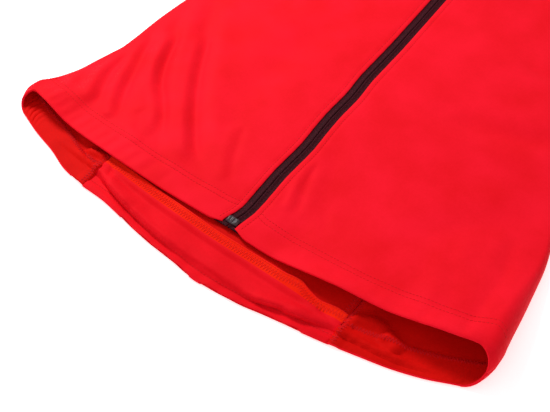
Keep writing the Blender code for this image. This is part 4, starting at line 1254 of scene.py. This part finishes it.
def sleeve_points(side):
    arm = np.array(ARMHOLE) + (SEAM, 0)
    cuff = np.array([CUFF_UNDER, CUFF_TOP])
    width = np.linalg.norm(cuff[1] - cuff[0])
    along_cuff = (cuff[1] - cuff[0]) / width
    first, last = arm[1] - arm[0], arm[-2] - arm[-1]
    arm_in = arm[0] + first / np.linalg.norm(first) * FLAT_RADIUS
    arm_out = arm[-1] + last / np.linalg.norm(last) * FLAT_RADIUS
    inset = along_cuff * FLAT_RADIUS
    under = bowed(arm[0], cuff[0], SLEEVE_ROWS, -UNDER_BOW)
    over = bowed(arm[-1], cuff[1], SLEEVE_ROWS, CAP_BOW)
    under_in = bowed(arm_in, cuff[0] + inset, SLEEVE_ROWS, -UNDER_BOW)
    over_in = bowed(arm_out, cuff[1] - inset, SLEEVE_ROWS, CAP_BOW)
    bottom = np.concatenate([[arm_in], arm[1:-1], [arm_out]])
    places = np.linspace(FLAT_RADIUS, width - FLAT_RADIUS, len(bottom))
    top = cuff[0] + along_cuff * places[:, None]
    rows_at = marks(over, SLEEVE_STEP)
    columns_at = marks(bottom, SLEEVE_STEP)
    flat = dense_both(patch(bottom, top, under_in, over_in), rows_at, columns_at)
    under, over, over_in, under_in = (dense(line, rows_at) for line in (under, over, over_in, under_in))
    share = dense(np.array(SLEEVE_ROWS, float)[:, None], rows_at)
    radius = FLAT_RADIUS + (CUFF_RADIUS - FLAT_RADIUS) * ease(0, CUFF_TAPER, share)
    inside = ease(0, 1, np.minimum(columns_at, columns_at[-1] - columns_at))
    x, y = flat[..., 0], flat[..., 1]
    low = sink(x, y, SLEEVE_FOLDS) * inside
    low = low + sink(x * side, y, FRONT_FOLDS) * (1 - ease(0, SHOULDER_FADE, share))
    outward_from_cuff = np.array([along_cuff[1], -along_cuff[0]])
    to_cuff = (cuff[0] - flat) @ outward_from_cuff
    loose = inside * ease(0, SLACK_FADE, share) * ease(0, CUFF_CALM, to_cuff)
    low = low + SLEEVE_SLACK * slack(x, y) * loose
    low = low + dips(to_cuff, CUFF_STITCH) * inside
    grid, heights = [flat], [2 * radius - low]
    for turn in LOOP_TURNS:
        grid.append((over_in + (over - over_in) * math.sin(turn))[:, None])
        heights.append(radius * (1 + math.cos(turn)))
    grid.append(flat[:, ::-1])
    heights.append(np.zeros(flat.shape[:2]))
    for turn in LOOP_TURNS[::-1]:
        grid.append((under_in + (under - under_in) * math.sin(turn))[:, None])
        heights.append(radius * (1 + math.cos(turn)))
    grid, heights = np.concatenate(grid, axis=1), np.concatenate(heights, axis=1)
    turned = turned_up((cuff[0] - grid) @ outward_from_cuff, CUFF_TURN)
    return in_space(grid * (side, 1), heights), turned


def fine_sleeve(side, looks, thread):
    name = f"sleeve_{SIDES[side]}"
    points, turned = sleeve_points(side)
    bulge = (SEAM_BULGE, CUFF_BULGE, 0, 0)
    piece, _, normals = shell(name, points, True, walls_of(turned), bulge, looks, loop=True)
    hems = lines_along(points[::-1], normals[::-1], CUFF_STITCH)
    sewn = sewing(f"{name}_stitches", [stitches(hems)], thread)
    declare(points, loop=True)


def collar_points():
    rise = np.array(COLLAR_ROWS)[:, None, None]
    front = np.array(NECKLINE) + (np.array(COLLAR_EDGE) - NECKLINE) * rise
    back = np.array(BACK_NECK) + (np.array(COLLAR_BACK) - BACK_NECK) * rise
    back = np.concatenate([back, back[:, -2::-1] * (-1, 1)], axis=1)
    outer = front[:, -1].copy()
    front[:, -1] = outer + unit(front[:, -2] - outer) * FLAT_RADIUS
    ends = [unit(back[:, 1] - outer), unit(back[:, -2] - outer * (-1, 1))]
    back[:, 0] = outer + ends[0] * FLAT_RADIUS
    back[:, -1] = outer * (-1, 1) + ends[1] * FLAT_RADIUS
    rows_at = marks(front[:, 0], NEAR_STEP)
    outer = dense(outer, rows_at)
    front = dense_both(front, rows_at, marks(front[0], NEAR_STEP))
    back = dense_both(back, rows_at, marks(back[0], NEAR_STEP))
    grid, heights = [front], [np.full(front.shape[:2], BODY_HIGH)]
    for side, near, far in ((1, front[:, -1], back[:, 0]), (-1, back[:, -1], front[:, -1] * (-1, 1))):
        for turn in LOOP_TURNS:
            towards = near if turn < math.pi / 2 else far
            grid.append((towards + (outer * (side, 1) - towards) * math.sin(turn))[:, None])
            heights.append(np.full((len(outer), 1), FLAT_RADIUS * (1 + side * math.cos(turn))))
        if side > 0:
            grid.append(back)
            heights.append(np.zeros(back.shape[:2]))
    grid.append(front[:, ::-1] * (-1, 1))
    heights.append(np.full(front.shape[:2], BODY_HIGH))
    grid, heights = np.concatenate(grid, axis=1), np.concatenate(heights, axis=1)
    grid[0] += unit(grid[1] - grid[0]) * COLLAR_GAP
    return in_space(grid, heights)


def fine_collar(looks, thread):
    points = collar_points()
    piece, _, normals = shell("collar", points, True, WALL, COLLAR_BULGE, looks)
    lines = lines_along(points[::-1], normals[::-1], [COLLAR_STITCH])
    lines += lines_along(points, normals, [COLLAR_STITCH])
    sewn = sewing("collar_stitches", [stitches(lines)], thread)
    declare(points)


RIDGE_HIGH = 0.55
RIDGE_WIDE = 2.4
CENTRE_DEEP = 0.5
CENTRE_WIDE = 0.5
TOOTH_HIGH = 0.14
TOOTH_PITCH = 1.4
TOOTH_SLANT = 3.2
TOOTH_AWAY = 1.5
TOOTH_REACH = 1.3
TAPE_STEP = 0.36
TAPE_OFFSETS = [0.15, 0.4, 0.75, 1.2, 1.7, 2.2, 2.7, 3.3, 4.0, 4.8, 5.8, 7.2, 9.5, 12.0, TAPE_WIDE]
STOP_HIGH = 1.9
STOP_RIDGES = 3
STOP_RIDGE_HIGH = 0.42
STOP_GRID = (29, 19)
STOP_EDGE = 6
STOP_LEAST = 0.25
STOP_TAPER = (0.06, 0.10)
SLOT_DEEP = 0.9
SLOT_WIDE = 0.3
SLOT_SPAN = (0.1, -0.9)


def tape_points(side, tape_top):
    """One tape: woven flat beside the teeth, with the teeth's ridge and slanting ribs along the middle."""
    y = np.arange(ZIP_LOW, ZIP_HIGH, TAPE_STEP)[:, None]
    away = np.array(TAPE_OFFSETS)[None, :]
    x = zip_line(y) + side * away
    ridge = RIDGE_HIGH * np.exp(-((away / RIDGE_WIDE) ** 4))
    ridge = ridge - CENTRE_DEEP * np.exp(-((away / CENTRE_WIDE) ** 2))
    teeth = TOOTH_HIGH * np.sin(2 * math.pi * (y / TOOTH_PITCH + away / TOOTH_SLANT))
    teeth = teeth * np.exp(-(((away - TOOTH_AWAY) / TOOTH_REACH) ** 2))
    heights = tape_top + ridge + teeth
    return in_space(np.stack([x, y + 0 * away], axis=2), heights)


def fine_tape(side, tape_top, looks):
    points = tape_points(side, tape_top)
    piece, _, _ = shell(f"zip_tape_{SIDES[side]}", points, True, TAPE_WALL, TAPE_BULGE, looks)
    declare(points)


def fine_stop(tape_top, look):
    """The moulded stop at the hem end: a low rounded block with ridges along it and a slot at its end."""
    columns, rows = STOP_GRID
    u, v = np.meshgrid(np.linspace(-1, 1, columns), np.linspace(-1, 1, rows))
    wide, long = STOP_SIZE
    middle = float(zip_line(STOP_Y))
    round_off = (1 - np.abs(u) ** STOP_EDGE) * (1 - np.abs(v) ** STOP_EDGE)
    ridges = STOP_RIDGE_HIGH * np.cos(STOP_RIDGES * math.pi * u) * (1 - v**4)
    slot = SLOT_DEEP * np.exp(-((u / SLOT_WIDE) ** 4)) * ease(*SLOT_SPAN, v)
    top = STOP_HIGH * np.sqrt(np.clip(round_off, 0, 1)) + (ridges - slot) * round_off
    low = tape_top + LAYER
    x = middle + u * wide / 2 * (1 - STOP_TAPER[0] * v**4)
    y = STOP_Y + v * long / 2 * (1 - STOP_TAPER[1] * u**4)
    high = low + RIDGE_HIGH / 2 + np.clip(top, STOP_LEAST, None)
    upper = np.stack([x, y, high], axis=2).reshape(-1, 3)
    lower = np.stack([x, y, np.full(x.shape, low)], axis=2).reshape(-1, 3)
    count = rows * columns
    ring = border_ids(rows, columns)
    faces = [quads(rows, columns), quads(rows, columns, count)[:, ::-1]]
    faces.append(np.stack([np.roll(ring, -1), ring, ring + count, np.roll(ring, -1) + count], axis=-1))
    mesh = new_mesh("zip_stop", np.concatenate([upper, lower]), np.concatenate(faces), [look])
    link("zip_stop_moulded", mesh, "zip_stop")


def shader_of(look):
    return look.node_tree.nodes["Principled BSDF"]


def join(look, output, socket):
    look.node_tree.links.new(output, socket)


def new_look(name, roughness, sheen=0.0, sheen_tint=(1, 1, 1), metallic=0.0, specular=0.5):
    look = bpy.data.materials.new(name)
    look.use_nodes = True
    inputs = shader_of(look).inputs
    inputs["Roughness"].default_value = roughness
    inputs["Metallic"].default_value = metallic
    inputs["Specular IOR Level"].default_value = specular
    inputs["Sheen Weight"].default_value = sheen
    inputs["Sheen Roughness"].default_value = 0.4
    inputs["Sheen Tint"].default_value = (*sheen_tint, 1)
    return look


def add_texture(look, kind, size, stretch, socket, value):
    """A texture in the object's own metres, with features of about the given size in millimetres."""
    nodes = look.node_tree.nodes
    mapping, texture = nodes.new("ShaderNodeMapping"), nodes.new(kind)
    mapping.inputs["Scale"].default_value = stretch
    texture.inputs["Scale"].default_value = 1 / (size * MM)
    texture.inputs[socket].default_value = value
    join(look, nodes.new("ShaderNodeTexCoord").outputs["Object"], mapping.inputs["Vector"])
    join(look, mapping.outputs["Vector"], texture.inputs["Vector"])
    return texture


def add_noise(look, size, detail=2.0, stretch=(1, 1, 1)):
    return add_texture(look, "ShaderNodeTexNoise", size, stretch, "Detail", detail).outputs["Fac"]


def add_cells(look, size, stretch=(1, 1, 1)):
    """Small rounded cells, as of knitted loops."""
    cells = add_texture(look, "ShaderNodeTexVoronoi", size, stretch, "Randomness", 0.35)
    return cells.outputs["Distance"]


def add_math(look, operation, first, second):
    """The product or sum of an output and another output or a number."""
    node = look.node_tree.nodes.new("ShaderNodeMath")
    node.operation = operation
    join(look, first, node.inputs[0])
    if isinstance(second, float):
        node.inputs[1].default_value = second
    else:
        join(look, second, node.inputs[1])
    return node.outputs[0]


def mix_colours(look, factor, dark, light, low=0.3, high=0.7):
    """Colours the look from dark to light where the factor goes from low to high."""
    ramp = look.node_tree.nodes.new("ShaderNodeValToRGB")
    for element, at, colour in zip(ramp.color_ramp.elements, (low, high), (dark, light)):
        element.position = at
        element.color = (*colour, 1)
    join(look, factor, ramp.inputs["Fac"])
    join(look, ramp.outputs["Color"], shader_of(look).inputs["Base Color"])
    return ramp


def add_bump(look, parts, distance):
    """Bumps from weighted parts, at most the given distance in millimetres high."""
    total = None
    for output, weight in parts:
        scaled = add_math(look, "MULTIPLY", output, weight)
        total = scaled if total is None else add_math(look, "ADD", total, scaled)
    bump = look.node_tree.nodes.new("ShaderNodeBump")
    bump.inputs["Distance"].default_value = distance * MM
    bump.inputs["Strength"].default_value = 1.0
    join(look, total, bump.inputs["Height"])
    join(look, bump.outputs["Normal"], shader_of(look).inputs["Normal"])


def rougher(look, factor, low, high):
    """Varies the roughness with the factor."""
    span = look.node_tree.nodes.new("ShaderNodeMapRange")
    span.inputs["To Min"].default_value = low
    span.inputs["To Max"].default_value = high
    join(look, factor, span.inputs["Value"])
    join(look, span.outputs["Result"], shader_of(look).inputs["Roughness"])


def grained_look(name, roughness, grain, colours, bump, **rest):
    """A look whose colour and bumps both follow one grain, and that grain."""
    look = new_look(name, roughness, **rest)
    grains = add_noise(look, *grain)
    mix_colours(look, grains, *colours)
    add_bump(look, [(grains, 1.0)], bump)
    return look, grains


def knit_look(name, dark, light, roughness, sheen):
    """Smooth polyester knit: fine loops in columns, with a slight unevenness of its dye."""
    look = new_look(name, roughness, sheen, (1.0, 0.1, 0.22), specular=0.07)
    shader_of(look).inputs["Specular Tint"].default_value = (1.0, 0.25, 0.3, 1)
    loops = add_cells(look, 0.85, (1.0, 1.35, 1.0))
    grain = add_noise(look, 2.4, 3.0)
    clouds = add_noise(look, 34.0)
    dye = add_math(look, "ADD", add_math(look, "MULTIPLY", grain, 0.35), clouds)
    mix_colours(look, dye, dark, light, 0.45, 0.9)
    add_bump(look, [(loops, -0.5), (grain, 0.35)], 0.12)
    rougher(look, grain, roughness - 0.06, roughness + 0.06)
    return look


def thread_look(name, dark, light):
    gloss = {"sheen": 0.04, "sheen_tint": (1.0, 0.2, 0.2), "specular": 0.15}
    return grained_look(name, 0.6, (0.5,), (dark, light, 0.35, 0.65), 0.06, **gloss)[0]


def tape_look():
    look = new_look("zip_weave", 0.66, 0.03, (0.7, 0.4, 0.5), specular=0.08)
    flecks = add_noise(look, 0.7, 2.0, (1.0, 0.8, 1.0))
    ramp = mix_colours(look, flecks, (0.022, 0.001, 0.003), (0.11, 0.014, 0.030), 0.42, 0.74)
    middle = ramp.color_ramp.elements.new(0.58)
    middle.color = (0.048, 0.002, 0.007, 1)
    add_bump(look, [(add_cells(look, 0.6), -0.6), (flecks, 0.4)], 0.15)
    return look


def moulded_look():
    colours = (0.020, 0.010, 0.014), (0.075, 0.050, 0.062), 0.38, 0.68
    look, scuffs = grained_look("zip_stop_plastic", 0.42, (1.6, 4.0), colours, 0.08)
    rougher(look, scuffs, 0.34, 0.52)
    return look


def coil_look():
    colours = (0.012, 0.002, 0.004), (0.04, 0.01, 0.016)
    return grained_look("zip_coil_plastic", 0.35, (1.2, 1.0, (0.2, 1.0, 1.0)), colours, 0.2)[0]


def metal_look():
    look = new_look("zip_metal", 0.36, metallic=0.75)
    wear = add_noise(look, 2.2, 4.0)
    mix_colours(look, wear, (0.05, 0.032, 0.036), (0.11, 0.085, 0.09), 0.4, 0.7)
    add_bump(look, [(add_noise(look, 0.4), 1.0)], 0.04)
    rougher(look, wear, 0.3, 0.45)
    return look


def refinish(node, look):
    """Gives a piece that keeps its solid's shape its own look."""
    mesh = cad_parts[node].data
    mesh.materials.clear()
    mesh.materials.append(look)


def aimed(name, data, at, towards):
    """Adds a lamp or a lens at a place, turned towards a direction."""
    made = show(name, data)
    made.location = at
    made.rotation_euler = towards.to_track_quat("-Z", "Y").to_euler()
    return made


def camera():
    """The view in the photograph: the hem from close by."""
    around, up = math.radians(CAMERA_AROUND), math.radians(CAMERA_UP)
    back = Vector((math.sin(around) * math.cos(up), -math.cos(around) * math.cos(up), math.sin(up)))
    lens = bpy.data.cameras.new("photo_camera")
    lens.sensor_width = SENSOR
    lens.lens = SENSOR * CAMERA_FOCAL / PHOTO_WIDE
    lens.clip_start = CLIP_NEAR
    x, y = CAMERA_TARGET
    at = Vector((x, y - MIDDLE_Y, 0)) * MM + back * CAMERA_FAR
    bpy.context.scene.camera = aimed("photo_camera", lens, at, -back)


def floor():
    """A plain white table under the jersey."""
    mesh = bpy.data.meshes.new("table_top")
    corners = [(x * FLOOR_HALF, y * FLOOR_HALF, FLOOR_Z) for x, y in ((-1, -1), (1, -1), (1, 1), (-1, 1))]
    mesh.from_pydata(corners, [], [(0, 1, 2, 3)])
    look = new_look("table_white", 0.9)
    mix_colours(look, add_noise(look, 60.0), FLOOR_DARK, FLOOR_LIGHT)
    shader_of(look).inputs["Emission Color"].default_value = (1, 1, 1, 1)
    shader_of(look).inputs["Emission Strength"].default_value = FLOOR_GLOW
    mesh.materials.append(look)
    show("table_top", mesh)


def light():
    """Soft studio light: a pale room, a wide lamp at the far left and a weak one in front."""
    world = bpy.data.worlds.new("studio")
    world.use_nodes = True
    sky = world.node_tree.nodes["Background"]
    sky.inputs["Color"].default_value = (1.0, 1.0, 1.0, 1)
    sky.inputs["Strength"].default_value = ROOM
    bpy.context.scene.world = world
    for name, at, aim, size, power in LAMPS:
        lamp = bpy.data.lights.new(name, "AREA")
        lamp.shape = "DISK"
        lamp.size = size
        lamp.energy = power
        aimed(name, lamp, at, Vector(aim) - Vector(at))
    bpy.context.scene.view_settings.view_transform = "Standard"
    bpy.context.scene.view_settings.look = "None"


def main():
    knits = {name: knit_look(name, *rest) for name, rest in KNITS.items()}
    threads = {name: thread_look(name, *colours) for name, colours in THREADS.items()}
    thread = threads["thread_red"]
    # inner faces take the inside knit, whose darker colour is painted shade
    looks = [knits["knit_outside"], knits["knit_inside_painted_shade"]]
    for side, columns in ((-1, 18), (1, 15)):
        fine_front(side, columns, looks, thread)
    for side in SIDES:
        fine_side(side, looks, thread)
    fine_back(looks, thread)
    tail_looks = [knits["knit_outside"], knits["knit_tail"], knits["knit_allowance"]]
    fine_tail(tail_looks, thread, threads["thread_orange_red"])
    fine_pocket(looks, thread)
    for side in SIDES:
        fine_sleeve(side, looks, thread)
    fine_collar(looks, thread)
    tape_top = BODY_HIGH - WALL - LAYER
    weave = tape_look()
    for side in (1, -1):
        fine_tape(side, tape_top, [weave, weave])
    fine_stop(tape_top, moulded_look())
    refinish("zip_coil", coil_look())
    metal = metal_look()
    refinish("zip_slider", metal)
    refinish("zip_pull", metal)
    floor()
    light()
    camera()


main()
